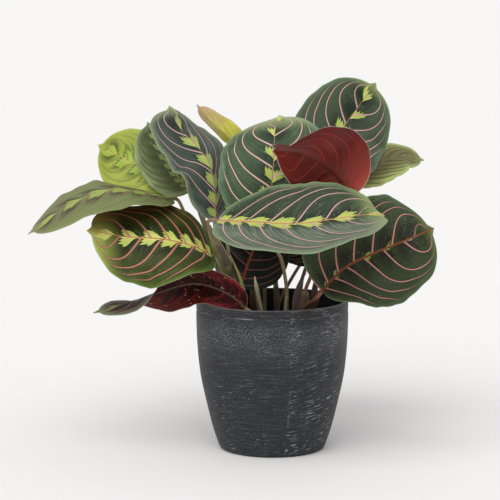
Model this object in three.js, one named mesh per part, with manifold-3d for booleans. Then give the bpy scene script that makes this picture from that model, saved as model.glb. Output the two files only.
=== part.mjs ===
// Potted prayer plant (Maranta leuconeura) in a dark dry-brushed pot.
// Millimetres, Z up. The origin is the centre of the pot's underside, on the table.
// The front of the plant looks toward -Y and X runs to its right.

import * as THREE from 'three';
import { mergeVertices } from 'three/addons/utils/BufferGeometryUtils.js';
import Module from 'manifold-3d';

const wasm = await Module();
wasm.setup();

// Driving dimensions of the pot and its filling
const POT_HEIGHT = 119;
const POT_RADIUS = 60;
const POT_WALL = 3;
const POT_FLOOR = 4;
const POT_FOOT_RADIUS = 38;
const POT_SIDES = 44;
const POT_WALL_STEPS = 7;
const RIM_ROUNDING = 0.9;
const SOIL_EDGE_HEIGHT = 99;
const SOIL_CENTRE_HEIGHT = 102;
const SOIL_SHOULDER_HEIGHT = 101;
const SOIL_SHOULDER_SHARE = 0.66;

// Gaps between pieces that touch
const FIT_GAP = 0.3;
const PETIOLE_GAP = 0.5;
const HOLE_GAP = 0.5;

// Stems
const STEM_FOOT = 84;
const STEM_SIDES = 6;
const STEM_STEPS = 9;
const PETIOLE_RADIUS = 1.6;
const PULVINUS_LENGTH = 9;

// Leaf blades
const BLADE_THICKNESS = 0.8;
const BLADE_RINGS = 16;
const VEIN_SPREAD = 1.5;
const VEIN_SWEEP = 0.26;
const RIB_RELIEF = 0.35;
const KEEL_DEPTH = 2.2;
const KEEL_HALF_WIDTH = 1.8;
const KEEL_SHOULDER = 1.3;
const STUB_HALF_WIDTH = 1.6;
const TIP_HALF_WIDTH = 0.5;
const FULL_BEND_HALF_WIDTH = 10;
const LEFT_WAVE_SHIFT = 2;

const vec = (x, y, z) => new THREE.Vector3(x, y, z);
const toVectors = (points) => points.map(([x, y, z]) => vec(x, y, z));
const splineThrough = (points) => new THREE.CatmullRomCurve3(points, false, 'catmullrom', 0.5);
const radians = THREE.MathUtils.degToRad;

// Value at s (0 to 1) in a list of evenly spaced values
function valueAlong(list, s) {
  if (list.length === 1) return list[0];
  const place = THREE.MathUtils.clamp(s, 0, 1) * (list.length - 1);
  const index = Math.min(Math.floor(place), list.length - 2);
  let share = place - index;
  if (list.length === 2) share = share * share * (3 - 2 * share);
  return list[index] * (1 - share) + list[index + 1] * share;
}

function vectorAlong(list, s) {
  const pick = (axis) => valueAlong(list.map((v) => v[axis]), s);
  return vec(pick(0), pick(1), pick(2));
}

// Solids for joining and cutting
function toSolid(geometry) {
  const bare = geometry.clone();
  bare.deleteAttribute('normal');
  bare.deleteAttribute('uv');
  const merged = mergeVertices(bare, 1e-4);
  const mesh = new wasm.Mesh({
    numProp: 3,
    vertProperties: new Float32Array(merged.attributes.position.array),
    triVerts: new Uint32Array(merged.index.array),
  });
  return new wasm.Manifold(mesh);
}

function toGeometry(solid) {
  const mesh = solid.getMesh();
  const geometry = new THREE.BufferGeometry();
  geometry.setAttribute('position', new THREE.BufferAttribute(mesh.vertProperties, 3));
  geometry.setIndex(new THREE.BufferAttribute(mesh.triVerts, 1));
  geometry.computeVertexNormals();
  return geometry;
}

// Closed skin through a row of equal rings, with a flat cap at each end
function skinOver(rings) {
  const count = rings[0].length;
  const positions = rings.flat().flatMap((p) => [p.x, p.y, p.z]);
  const index = [];
  for (let i = 0; i < rings.length - 1; i += 1) {
    for (let j = 0; j < count; j += 1) {
      const a = i * count + j;
      const b = i * count + ((j + 1) % count);
      index.push(a, b, b + count, a, b + count, a + count);
    }
  }
  const last = (rings.length - 1) * count;
  for (let j = 1; j < count - 1; j += 1) {
    index.push(0, j + 1, j, last, last + j, last + j + 1);
  }
  const geometry = new THREE.BufferGeometry();
  geometry.setAttribute('position', new THREE.Float32BufferAttribute(positions, 3));
  geometry.setIndex(index);
  geometry.computeVertexNormals();
  return geometry;
}

// Leaves
// spine: points from the blade's base to its tip; up: which way its upper face looks,
// base to tip; width: across the widest place; fold: degrees that a half rises toward
// the upper face; curl: degrees that it bends by the margin; wave: depth, count, phase.
// Left is the side to the left of the spine, seen from above with the tip ahead.
const LEAVES = {
  leaf_front: {
    spine: [
      [-42, -62, 189], [-14, -80, 190], [18, -91, 190], [54, -92, 195], [75, -87, 197], [83, -79, 195],
    ],
    up: [[0, -0.66, 0.75], [0, -0.68, 0.73], [0.1, -0.6, 0.8]],
    width: 74, foldLeft: [3], foldRight: [10], curl: [6], wave: [1.2, 3, 0], colour: 0x34543c,
  },
  leaf_right_low: {
    spine: [[38, -34, 130], [55, -35, 148], [77, -37, 160], [105, -46, 173], [124, -37, 180]],
    up: [[0, -0.95, 0.3], [0.1, -0.95, 0.35], [0.3, -0.8, 0.5]],
    width: 88, fold: [4], foldRight: [50, 25, 0, 0], curl: [-6], curlRight: [0, -20, -10],
    wave: [1.5, 3, 0], colour: 0x2f4a33,
  },
  leaf_top_right: {
    spine: [[38, 7, 209], [46, 22, 231], [56, 30, 251], [68, 31, 268], [82, 27, 288]],
    up: [[0, -0.9, 0.4]],
    width: 76, fold: [3], curl: [-10], wave: [1.2, 3, 0], colour: 0x2c4a35,
  },
  leaf_red_underside: {
    spine: [[59, -28, 203], [50, -36, 220], [37, -44, 231], [19, -51, 239], [-1, -59, 241]],
    up: [[-0.13, -0.07, 0.4], [-0.11, 0.19, 0.03], [-0.24, 0.71, -0.41]],
    width: 75, fold: [0], foldLeft: [26, 29, 61, 44], curl: [10], wave: [1, 3, 0], colour: 0x7a241c,
  },
  leaf_centre: {
    spine: [[-3, -17, 176], [-1, -18, 207], [1, -14, 233], [2, -2, 252], [6, 17, 263]],
    up: [[0.17, -0.93, 0.19], [-0.09, -0.88, 0.27], [-0.34, -0.52, 0.72]],
    width: 85, fold: [4], curl: [-12], wave: [1.5, 3, 0], colour: 0x2f4f3a,
  },
  leaf_left_upright: {
    spine: [[-44, -12, 184], [-45, -12, 210], [-52, -8, 232], [-73, -1, 255], [-81, 9, 271]],
    up: [[0.74, -0.67, 0.25], [0.45, -0.42, -0.04], [0.04, -0.33, 0.76]],
    width: 71, fold: [0], foldRight: [-25], curl: [4], wave: [1.5, 3, 0], colour: 0x2b4539,
  },
  leaf_left_middle: {
    spine: [[-48, -21, 157], [-64, -32, 166], [-86, -40, 172], [-113, -42, 174], [-142, -52, 180]],
    up: [[0.1, -0.8, 0.6]],
    width: 81, foldLeft: [45, 34, 2, 0, 0], foldRight: [0],
    curlLeft: [-10, -18, -25, -12, -5], curlRight: [-15, -30, -40, -40],
    wave: [1.5, 3, 0], colour: 0x3a5a32,
  },
  leaf_far_left: {
    spine: [[-81, 5, 199], [-103, -13, 205], [-127, -28, 208], [-156, -38, 198], [-188, -42, 176]],
    up: [[0, -0.22, 0.97]],
    width: 66, fold: [0], curl: [-10], wave: [1, 3, 0], colour: 0x5a6b45,
  },
  leaf_lime: {
    spine: [[-70, 14, 204], [-91, 25, 215], [-116, 35, 226], [-139, 35, 238]],
    up: [[-0.2, -0.8, 0.5]],
    width: 62, fold: [4], curl: [-10], wave: [1.5, 3, 0], colour: 0x8a9c3a,
  },
  leaf_dull_green: {
    spine: [[-65, 10, 203], [-85, 19, 228], [-99, 25, 257]],
    up: [[-0.2, -0.8, 0.5]],
    width: 44, fold: [4], curl: [-10], wave: [1, 3, 0], colour: 0x4f6b45,
  },
  leaf_young_yellow: {
    spine: [[-14, 30, 206], [-28, 35, 237], [-47, 37, 255], [-60, 37, 270]],
    up: [[0.3, 0.9, 0.3]],
    width: 23, fold: [20], curl: [30], wave: [1, 3, 0], colour: 0xb5a95a,
  },
  leaf_right_back: {
    spine: [[58, 30, 207], [81, 46, 218], [102, 60, 227], [124, 66, 223]],
    up: [[0, -0.5, 0.85]],
    width: 44, fold: [4], curl: [-10], wave: [1, 3, 0], colour: 0x6b6f3a,
  },
  leaf_over_rim: {
    spine: [
      [-21, -28, 116], [-38, -27, 129], [-60, -23, 135],
      [-85, -26, 130], [-112, -31, 121], [-139, -34, 113.5],
    ],
    up: [
      [0, 1, 0], [0, 1, 0], [0, 1, 0], [0, 1, 0.1], [0, 0.87, 0.5],
      [0, 0.15, 1], [0, -0.35, 0.94], [0, -0.45, 0.9], [0, -0.5, 0.87],
    ],
    width: 37, foldLeft: [0, -20, -35, -30, -10, 0, 0, 0, 0],
    foldRight: [-40, -40, -38, -35, -35, -46, -32, -8, 0], curl: [0],
    wave: [0.6, 3, 0], colour: 0x6e2a22,
  },
  leaf_low_centre: {
    spine: [[-26, 10, 126], [-19, 22, 145], [-10, 30, 166], [-2, 28, 186]],
    up: [[0, -0.9, 0.3]],
    width: 60, fold: [4], curl: [-10], wave: [1, 3, 0], colour: 0x22352a,
  },
  leaf_low_back: {
    spine: [[40, 32, 146], [30, 34, 156], [18, 36, 163], [3, 36, 166]],
    up: [[0, -0.9, 0.4]],
    width: 40, fold: [4], curl: [-10], wave: [1, 3, 0], colour: 0x263c2d,
  },
  leaf_back_left: {
    spine: [[-24, 46, 168], [-38, 66, 190], [-56, 86, 203], [-78, 102, 207]],
    up: [[0.2, -0.4, 0.9], [0, 0, 1], [-0.2, 0.3, 0.9]],
    width: 56, fold: [6], curl: [-10], wave: [1, 2, 0], colour: 0x30503a,
  },
  leaf_back_right: {
    spine: [[30, 54, 150], [46, 74, 170], [64, 94, 180], [86, 110, 174]],
    up: [[-0.2, -0.4, 0.9], [0, 0, 1], [0.2, 0.4, 0.9]],
    width: 58, fold: [6], curl: [-10], wave: [1, 2, 0], colour: 0x30503a,
  },
  leaf_back_centre: {
    spine: [[4, 58, 164], [14, 80, 192], [26, 102, 207], [40, 124, 210]],
    up: [[0, -0.6, 0.8], [0, -0.1, 1], [0, 0.2, 1]],
    width: 62, fold: [6], curl: [-10], wave: [1, 2, 0], colour: 0x30503a,
  },
  leaf_back_low: {
    spine: [[-18, 50, 130], [-38, 78, 146], [-58, 102, 150], [-80, 120, 142]],
    up: [[0.1, -0.3, 1], [0, 0.1, 1], [-0.2, 0.5, 0.9]],
    width: 58, fold: [6], curl: [-10], wave: [1, 2, 0], colour: 0x30503a,
  },
};

// Half-width of a blade as a share of its widest half: round base, short sudden point
function outlineShare(s) {
  const place = THREE.MathUtils.clamp(s / 0.965, 0, 1) ** 0.96;
  const body = Math.sqrt(Math.max(0, 1 - Math.abs(1 - 2 * place) ** 2.3));
  const point = 0.1 * THREE.MathUtils.clamp((1 - s) / 0.035, 0, 1.2);
  return s > 0.9 ? Math.max(body, point) : body;
}

function halfWidthAt(leaf, s) {
  const least = STUB_HALF_WIDTH + (TIP_HALF_WIDTH - STUB_HALF_WIDTH) * s;
  return Math.max(least, (leaf.width / 2) * outlineShare(s));
}

function spineOf(leaf) {
  if (!leaf.curve) leaf.curve = splineThrough(toVectors(leaf.spine));
  return leaf.curve;
}

// Place along the spine of the point at u on the lateral vein that leaves the midrib at t
function placeOnSpine(t, u) {
  const swept = VEIN_SWEEP * Math.abs(u) ** 1.3 * Math.sin(Math.PI * t);
  return THREE.MathUtils.clamp(t + swept, 0, 1);
}

// Middle surface of a blade at (t, u): the point and the way its upper face looks there.
// Folds and curls fade out where the blade is narrow, at its base and tip.
function surfaceAt(leaf, t, u) {
  const reach = Math.abs(u);
  const side = u < 0 ? -1 : 1;
  const s = placeOnSpine(t, u);
  const spine = spineOf(leaf);
  const along = spine.getTangentAt(s);
  const up = vectorAlong(leaf.up, s);
  up.addScaledVector(along, -up.dot(along)).normalize();
  const across = along.clone().cross(up).multiplyScalar(side);

  const half = halfWidthAt(leaf, placeOnSpine(t, 1));
  const bendShare = Math.min(1, half / FULL_BEND_HALF_WIDTH);
  const curlList = (side < 0 ? leaf.curlLeft : leaf.curlRight) ?? leaf.curl;
  const foldList = (side < 0 ? leaf.foldLeft : leaf.foldRight) ?? leaf.fold;
  const fold = bendShare * radians(valueAlong(foldList, s));
  let curl = bendShare * radians(valueAlong(curlList, s));
  if (Math.abs(curl) < 1e-3) curl = 1e-3;
  const bentOut = (half * Math.sin(curl * reach)) / curl;
  const bentUp = (half * (1 - Math.cos(curl * reach))) / curl;
  const out = bentOut * Math.cos(fold) - bentUp * Math.sin(fold);
  const rise = bentOut * Math.sin(fold) + bentUp * Math.cos(fold);

  const [depth, count, phase] = leaf.wave;
  const turn = 2 * Math.PI * count * s + phase + (side < 0 ? LEFT_WAVE_SHIFT : 0);
  const wave = depth * reach * reach * Math.sin(turn) * Math.sin(Math.PI * s);
  const point = spine.getPointAt(s).addScaledVector(across, out).addScaledVector(up, rise + wave);

  const slope = reach > 0 ? fold + curl * reach : 0;
  const normal = up.clone().multiplyScalar(Math.cos(slope)).addScaledVector(across, -Math.sin(slope));
  return { point, normal };
}

// Blade as a thin closed solid: waved, ribbed along its lateral veins, keeled below
function bladeGeometry(leaf) {
  const upper = [];
  const lower = [];
  for (let i = 0; i <= BLADE_RINGS; i += 1) {
    const t = (i / BLADE_RINGS) ** VEIN_SPREAD;
    const isVein = i % 2 === 0;
    const half = halfWidthAt(leaf, placeOnSpine(t, 1));
    const shoulder = Math.min(0.3, KEEL_SHOULDER / half);
    const columns = [-1, -0.55, -shoulder, 0, shoulder, 0.55, 1];
    const upperRow = [];
    const lowerRow = [];
    for (const u of columns) {
      const reach = Math.abs(u);
      const { point, normal } = surfaceAt(leaf, t, u);
      const ridge = RIB_RELIEF * 4 * reach * (1 - reach) * Math.sin(Math.PI * t) * (isVein ? -1 : 1);
      const middle = point.addScaledVector(normal, ridge);
      const fromMidrib = (reach * half) / KEEL_HALF_WIDTH;
      const keel = KEEL_DEPTH * (1 - 0.85 * t) * Math.max(0, 1 - fromMidrib * fromMidrib);
      upperRow.push(middle.clone().addScaledVector(normal, BLADE_THICKNESS / 2));
      lowerRow.push(middle.clone().addScaledVector(normal, -BLADE_THICKNESS / 2 - keel));
    }
    upper.push(upperRow);
    lower.push(lowerRow);
  }
  return closedSheet(upper, lower);
}

// Joins an upper and a lower grid of points into one closed solid, triangles alike on both
function closedSheet(upper, lower) {
  const rows = upper.length;
  const columns = upper[0].length;
  const positions = [...upper.flat(), ...lower.flat()].flatMap((p) => [p.x, p.y, p.z]);
  const top = (i, j) => i * columns + j;
  const bottom = (i, j) => (rows + i) * columns + j;
  const index = [];
  const quad = (a, b, c, d) => index.push(a, b, c, a, c, d);
  for (let i = 0; i < rows - 1; i += 1) {
    for (let j = 0; j < columns - 1; j += 1) {
      quad(top(i, j), top(i, j + 1), top(i + 1, j + 1), top(i + 1, j));
      index.push(bottom(i, j), bottom(i + 1, j + 1), bottom(i, j + 1));
      index.push(bottom(i, j), bottom(i + 1, j), bottom(i + 1, j + 1));
    }
    const right = columns - 1;
    quad(top(i, 0), top(i + 1, 0), bottom(i + 1, 0), bottom(i, 0));
    quad(top(i, right), bottom(i, right), bottom(i + 1, right), top(i + 1, right));
  }
  const end = rows - 1;
  for (let j = 0; j < columns - 1; j += 1) {
    quad(top(0, j), bottom(0, j), bottom(0, j + 1), top(0, j + 1));
    quad(top(end, j), top(end, j + 1), bottom(end, j + 1), bottom(end, j));
  }
  const geometry = new THREE.BufferGeometry();
  geometry.setAttribute('position', new THREE.Float32BufferAttribute(positions, 3));
  geometry.setIndex(index);
  geometry.computeVertexNormals();
  return geometry;
}

// Stems
// foot: where the stem enters the soil; via: points on its way; leaf: the blade it carries.
const SHOOTS = {
  shoot_front_left: {
    colour: 0x77754f,
    petioles: [
      {
        foot: [-25, -6],
        via: [[-29, -8, 126], [-34, -12, 143], [-40, -27, 163], [-48, -47, 179]],
        leaf: 'leaf_front',
      },
      {
        foot: [-25, -6],
        via: [[-29, -6, 119], [-33, -10, 144], [-36, -13, 166]],
        leaf: 'leaf_left_upright',
      },
      { foot: [-25, -6], via: [[-29, -4, 119], [-33, -6, 139]], leaf: 'leaf_left_middle' },
    ],
    sheaths: [
      {
        path: [[-26, -6, 103], [-29, -8, 126], [-34, -12, 143], [-40, -27, 163], [-44, -37, 172]],
        radii: [3.2, 4, 5, 4.8, 2.2],
      },
      {
        path: [[-22, -8, 100], [-23, -11, 120], [-26, -13, 135], [-29, -15, 147], [-32, -16, 156]],
        radii: [2.6, 2.8, 2.6, 2, 0.5],
      },
    ],
  },
  shoot_rim: {
    colour: 0x8a6a52,
    petioles: [
      { foot: [-10, -29], via: [], leaf: 'leaf_over_rim' },
    ],
    sheaths: [],
  },
  shoot_rolled: {
    colour: 0x8f8a5c,
    petioles: [],
    sheaths: [
      {
        path: [[-8, -13, 84], [-8, -13, 104], [-11, -14, 122], [-14, -14, 139]],
        radii: [2.2, 2.2, 1.9, 0.4],
      },
    ],
  },
  shoot_low_centre: {
    colour: 0x6b4a38,
    petioles: [
      { foot: [-30, 4], via: [], leaf: 'leaf_low_centre' },
    ],
    sheaths: [],
  },
  shoot_back_left: {
    colour: 0x77704f,
    petioles: [
      {
        foot: [-38, 3],
        via: [[-40, 3, 130], [-47, 4, 152], [-58, 8, 172], [-68, 9, 184]],
        leaf: 'leaf_far_left',
      },
      { foot: [-38, 3], via: [[-40, 4, 130], [-48, 8, 158], [-56, 9, 182]], leaf: 'leaf_lime' },
      { foot: [-38, 3], via: [[-40, 2, 130], [-46, 4, 160], [-54, 3, 182]], leaf: 'leaf_dull_green' },
    ],
    sheaths: [
      { path: [[-38, 3, 101], [-40, 3, 130], [-46, 5, 150]], radii: [2.4, 3, 2] },
    ],
  },
  shoot_centre: {
    colour: 0x8b7c5b,
    petioles: [
      { foot: [11, -4], via: [[11, -4, 112], [11, -4, 130], [6, -10, 154]], leaf: 'leaf_centre' },
    ],
    sheaths: [
      { path: [[11, -4, 100], [11, -4, 112], [11, -4, 122]], radii: [2.2, 2.2, 1.8] },
    ],
  },
  shoot_young: {
    colour: 0x8b8a55,
    petioles: [
      { foot: [-6, 30], via: [[-6, 33, 125], [-7, 40, 160], [-9, 35, 185]], leaf: 'leaf_young_yellow' },
    ],
    sheaths: [],
  },
  shoot_right: {
    colour: 0x86623f,
    petioles: [
      { foot: [25, -3], via: [[25, -3, 109], [26, -10, 114]], leaf: 'leaf_right_low' },
      {
        foot: [25, -3],
        via: [[26, -1, 125], [31, -1, 140], [33, -4, 165], [37, -12, 187], [46, -20, 199]],
        leaf: 'leaf_red_underside',
      },
    ],
    sheaths: [
      { path: [[25, -3, 100], [25, -3, 110], [26, -1, 125]], radii: [3.2, 3.2, 1.8] },
    ],
  },
  shoot_top_right: {
    colour: 0x6b4f45,
    petioles: [
      {
        foot: [19, 14],
        via: [[19, 14, 112], [23, 14, 130], [31, 10, 156], [38, 2, 185]],
        leaf: 'leaf_top_right',
      },
    ],
    sheaths: [
      { path: [[19, 14, 100], [20, 14, 118], [24, 14, 133], [27, 14, 138]], radii: [2.6, 2.8, 2, 0.6] },
    ],
  },
  shoot_right_back: {
    colour: 0x6f6144,
    petioles: [
      { foot: [33, 26], via: [[34, 26, 120], [40, 25, 150], [45, 24, 180]], leaf: 'leaf_right_back' },
      { foot: [33, 26], via: [[36, 28, 112], [42, 30, 128]], leaf: 'leaf_low_back' },
    ],
    sheaths: [
      { path: [[33, 26, 100], [34, 26, 120], [36, 26, 132]], radii: [3, 3, 2] },
    ],
  },
  shoot_back: {
    colour: 0x7a7050,
    petioles: [
      { foot: [4, 42], via: [[4, 44, 118], [3, 49, 140]], leaf: 'leaf_back_centre' },
      { foot: [4, 42], via: [[8, 44, 114], [17, 46, 130]], leaf: 'leaf_back_right' },
    ],
    sheaths: [
      { path: [[4, 42, 100], [4, 43, 112], [3, 46, 126]], radii: [2.6, 2.8, 2] },
    ],
  },
  shoot_back_side: {
    colour: 0x7a7050,
    petioles: [
      { foot: [-14, 34], via: [[-15, 34, 110], [-16, 35, 135]], leaf: 'leaf_back_left' },
      { foot: [-14, 34], via: [[-13, 36, 108]], leaf: 'leaf_back_low' },
    ],
    sheaths: [
      { path: [[-14, 34, 100], [-15, 34, 112], [-15, 35, 124]], radii: [3, 3, 2] },
    ],
  },
};

// Round stem of one thickness along a curve
function tubeGeometry(points, radius) {
  const corners = [];
  for (let k = 0; k < STEM_SIDES; k += 1) {
    const angle = (2 * Math.PI * k) / STEM_SIDES;
    corners.push(new THREE.Vector2(radius * Math.cos(angle), radius * Math.sin(angle)));
  }
  return new THREE.ExtrudeGeometry(new THREE.Shape(corners), {
    steps: STEM_STEPS,
    extrudePath: splineThrough(points),
    bevelEnabled: false,
  });
}

// Round sheath whose thickness changes along its path
function sheathGeometry(path, radii) {
  const curve = splineThrough(toVectors(path));
  const frames = curve.computeFrenetFrames(STEM_STEPS, false);
  const rings = [];
  for (let i = 0; i <= STEM_STEPS; i += 1) {
    const s = i / STEM_STEPS;
    const centre = curve.getPointAt(s);
    const radius = valueAlong(radii, s);
    const ring = [];
    for (let k = 0; k < STEM_SIDES; k += 1) {
      const angle = (2 * Math.PI * (k + 0.5)) / STEM_SIDES;
      ring.push(centre.clone()
        .addScaledVector(frames.normals[i], radius * Math.cos(angle))
        .addScaledVector(frames.binormals[i], radius * Math.sin(angle)));
    }
    rings.push(ring);
  }
  return skinOver(rings);
}

// Way of a petiole from the soil to just under the blade's base, ending in line with it
function petioleRoute({ foot, via, leaf }, footHeight) {
  const blade = LEAVES[leaf];
  const spine = spineOf(blade);
  const along = spine.getTangentAt(0);
  const up = vectorAlong(blade.up, 0);
  up.addScaledVector(along, -up.dot(along)).normalize();
  const base = spine.getPointAt(0).addScaledVector(up, -KEEL_DEPTH / 2 + BLADE_THICKNESS / 4);
  return [
    vec(foot[0], foot[1], footHeight),
    vec(foot[0], foot[1], STEM_FOOT + 8),
    vec(foot[0], foot[1], SOIL_CENTRE_HEIGHT),
    ...toVectors(via),
    base.clone().addScaledVector(along, -PULVINUS_LENGTH),
    base.clone().addScaledVector(along, -PETIOLE_GAP),
  ];
}

function shootSolid(shoot, growth, footHeight) {
  const pieces = [];
  for (const petiole of shoot.petioles) {
    pieces.push(toSolid(tubeGeometry(petioleRoute(petiole, footHeight), PETIOLE_RADIUS + growth)));
  }
  for (const { path, radii } of shoot.sheaths) {
    const grown = radii.map((radius) => radius + growth);
    const start = [path[0][0], path[0][1], Math.min(path[0][2], footHeight)];
    const route = path[0][2] === STEM_FOOT ? [start, ...path.slice(1)] : path;
    pieces.push(toSolid(sheathGeometry(route, grown)));
  }
  return pieces.reduce((whole, piece) => whole.add(piece));
}

// Pot: thin wall, rounded foot, flat underside
const potOuterWall = new THREE.SplineCurve([
  new THREE.Vector2(42.5, 3),
  new THREE.Vector2(47, 16.5),
  new THREE.Vector2(52, 36.5),
  new THREE.Vector2(56.6, 58),
  new THREE.Vector2(59, 79),
  new THREE.Vector2(POT_RADIUS, 100),
  new THREE.Vector2(POT_RADIUS, POT_HEIGHT - RIM_ROUNDING),
]);

// Turned solid standing on Z
function turnedGeometry(profile) {
  return new THREE.LatheGeometry(profile, POT_SIDES).rotateX(Math.PI / 2);
}

function potGeometry() {
  const outer = potOuterWall.getPoints(POT_WALL_STEPS);
  const inner = outer
    .filter((p) => p.y > POT_FLOOR + 4)
    .map((p) => new THREE.Vector2(p.x - POT_WALL, p.y))
    .reverse();
  const profile = [
    new THREE.Vector2(0, 0),
    new THREE.Vector2(POT_FOOT_RADIUS, 0),
    new THREE.Vector2(POT_FOOT_RADIUS + 3, 1),
    ...outer,
    new THREE.Vector2(POT_RADIUS - RIM_ROUNDING, POT_HEIGHT),
    new THREE.Vector2(POT_RADIUS - POT_WALL + RIM_ROUNDING, POT_HEIGHT),
    ...inner,
    new THREE.Vector2(POT_FOOT_RADIUS, POT_FLOOR),
    new THREE.Vector2(0, POT_FLOOR),
  ];
  return turnedGeometry(profile);
}

// Soil: fills the pot to below its rim, with a hole for each stem
function soilSolid() {
  const wall = potOuterWall.getPoints(POT_WALL_STEPS)
    .filter((p) => p.y > POT_FLOOR + 4 && p.y < SOIL_EDGE_HEIGHT)
    .map((p) => new THREE.Vector2(p.x - POT_WALL - FIT_GAP, p.y + FIT_GAP));
  const edge = wall[wall.length - 1].x;
  const profile = [
    new THREE.Vector2(0, POT_FLOOR + FIT_GAP),
    new THREE.Vector2(POT_FOOT_RADIUS, POT_FLOOR + FIT_GAP),
    ...wall,
    new THREE.Vector2(edge, SOIL_EDGE_HEIGHT),
    new THREE.Vector2(edge * SOIL_SHOULDER_SHARE, SOIL_SHOULDER_HEIGHT),
    new THREE.Vector2(0, SOIL_CENTRE_HEIGHT),
  ];
  let solid = toSolid(turnedGeometry(profile));
  for (const shoot of Object.values(SHOOTS)) {
    solid = solid.subtract(shootSolid(shoot, HOLE_GAP, STEM_FOOT - HOLE_GAP));
  }
  return solid;
}

// Assembly
const plant = new THREE.Group();
plant.name = 'potted_prayer_plant_maranta';

function addPiece(name, geometry, colour, roughness) {
  const material = new THREE.MeshStandardMaterial({ color: colour, roughness, metalness: 0 });
  const mesh = new THREE.Mesh(geometry, material);
  mesh.name = name;
  plant.add(mesh);
}

addPiece('pot', potGeometry(), 0x3a3b3e, 0.7);
addPiece('soil', toGeometry(soilSolid()), 0x2b211a, 1);
for (const [name, shoot] of Object.entries(SHOOTS)) {
  addPiece(name, toGeometry(shootSolid(shoot, 0, STEM_FOOT)), shoot.colour, 0.6);
}
for (const [name, leaf] of Object.entries(LEAVES)) {
  addPiece(name, bladeGeometry(leaf), leaf.colour, 0.5);
}

export default plant;
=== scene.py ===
"""Looks of the potted prayer plant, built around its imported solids.

Metres, Z up. The origin is the centre of the pot's underside, and the plant looks toward -Y.
The pieces follow each other as the plant is put together: pot, soil, leaves, stems.
"""
import functools
import math
import random

import bmesh
import bpy
import numpy as np
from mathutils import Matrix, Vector, noise


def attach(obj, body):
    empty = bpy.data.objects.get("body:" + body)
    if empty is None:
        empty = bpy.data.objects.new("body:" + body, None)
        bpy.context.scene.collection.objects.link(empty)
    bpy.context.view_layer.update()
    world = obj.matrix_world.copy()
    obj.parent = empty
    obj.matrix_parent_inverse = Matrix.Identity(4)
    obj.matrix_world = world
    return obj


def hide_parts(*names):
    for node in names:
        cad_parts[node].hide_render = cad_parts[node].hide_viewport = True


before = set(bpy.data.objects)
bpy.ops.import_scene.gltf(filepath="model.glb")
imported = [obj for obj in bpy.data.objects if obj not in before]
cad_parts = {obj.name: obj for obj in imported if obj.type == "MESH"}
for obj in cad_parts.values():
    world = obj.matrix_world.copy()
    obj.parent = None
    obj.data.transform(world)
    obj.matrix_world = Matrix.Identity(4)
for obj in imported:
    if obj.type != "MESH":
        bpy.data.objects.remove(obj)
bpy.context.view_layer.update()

MM = 0.001


# Camera: stands about 1.7 m in front of the plant and looks slightly down on it.
# The long lens keeps the leaves in front and behind at nearly the same scale.
camera_place = Vector((-17.6, -1700.0, 387.0)) * MM
camera_aim = Vector((-17.6, 0.0, 158.0)) * MM
camera_data = bpy.data.cameras.new("camera")
camera_data.sensor_width = 36.0
camera_data.lens = 156.8
camera_data.clip_end = 200.0
camera = bpy.data.objects.new("camera", camera_data)
camera.location = camera_place
camera.rotation_euler = (camera_aim - camera_place).to_track_quat("-Z", "Y").to_euler()
bpy.context.scene.collection.objects.link(camera)
bpy.context.scene.camera = camera
bpy.context.scene.view_settings.view_transform = "Standard"


# Pot: a thin round cover pot of moulded polypropylene, painted charcoal and dry-brushed with
# pale grey. Its wall is turned here from the same outline as the solid, with a fine groove
# under the rim, and it stands loose on its flat foot.
POT_HEIGHT = 119.0
POT_RADIUS = 60.0
POT_WALL = 3.0
POT_FLOOR = 4.0
POT_SIDES = 192
POT_OUTLINE = [(42.5, 3), (47, 16.5), (52, 36.5), (56.6, 58), (59, 79), (60, 100), (60, 118.1)]
POT_FOOT = [(0, 0), (20, 0), (38, 0), (40, 0.35), (41.4, 1.3)]
POT_INSIDE = [(42, 5.4), (38, POT_FLOOR), (0, POT_FLOOR)]
OUTER_STEPS = 120
INNER_STEPS = 39
INSIDE_ROUNDING = 4.0
BRUSHED_RADIUS = 58.0
RIM_ROUNDING = 0.9
RIM_STEPS = 8
GROOVE_HEIGHT = 111.0
GROOVE_DEPTH = 0.4
GROOVE_HALF_WIDTH = 0.7
SEAM_ANGLE = math.radians(13)
# Setting of a MapRange whose edge eases in and out.
SOFT_EDGE = {"interpolation_type": "SMOOTHSTEP"}


def curve_point(points, t):
    """Point at t (0 to 1) of a smooth curve through points, evenly spaced in t."""
    points = np.asarray(points, float)
    count = len(points)
    padded = np.vstack([2 * points[0] - points[1], points, 2 * points[-1] - points[-2]])
    place = np.clip(t, 0, 1) * (count - 1)
    index = np.minimum(place.astype(int), count - 2)
    w = (place - index)[..., None]
    p0, p1, p2, p3 = (padded[index + k] for k in range(4))
    v0, v1 = (p2 - p0) / 2, (p3 - p1) / 2
    return (2 * p1 - 2 * p2 + v0 + v1) * w**3 + (3 * p2 - 3 * p1 - 2 * v0 - v1) * w**2 + v0 * w + p1


def new_piece(name, points, faces, materials, face_material=None):
    """Smooth mesh piece from points in millimetres, riding on the plant's one body."""
    mesh = bpy.data.meshes.new(name)
    mesh.from_pydata((np.asarray(points, float) * MM).tolist(), [], [list(map(int, f)) for f in faces])
    for material in materials:
        mesh.materials.append(material)
    if face_material is not None:
        mesh.polygons.foreach_set("material_index", np.asarray(face_material, np.int32))
    mesh.polygons.foreach_set("use_smooth", [True] * len(mesh.polygons))
    mesh.update()
    piece = bpy.data.objects.new(name, mesh)
    bpy.context.scene.collection.objects.link(piece)
    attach(piece, "root")
    return piece


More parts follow.
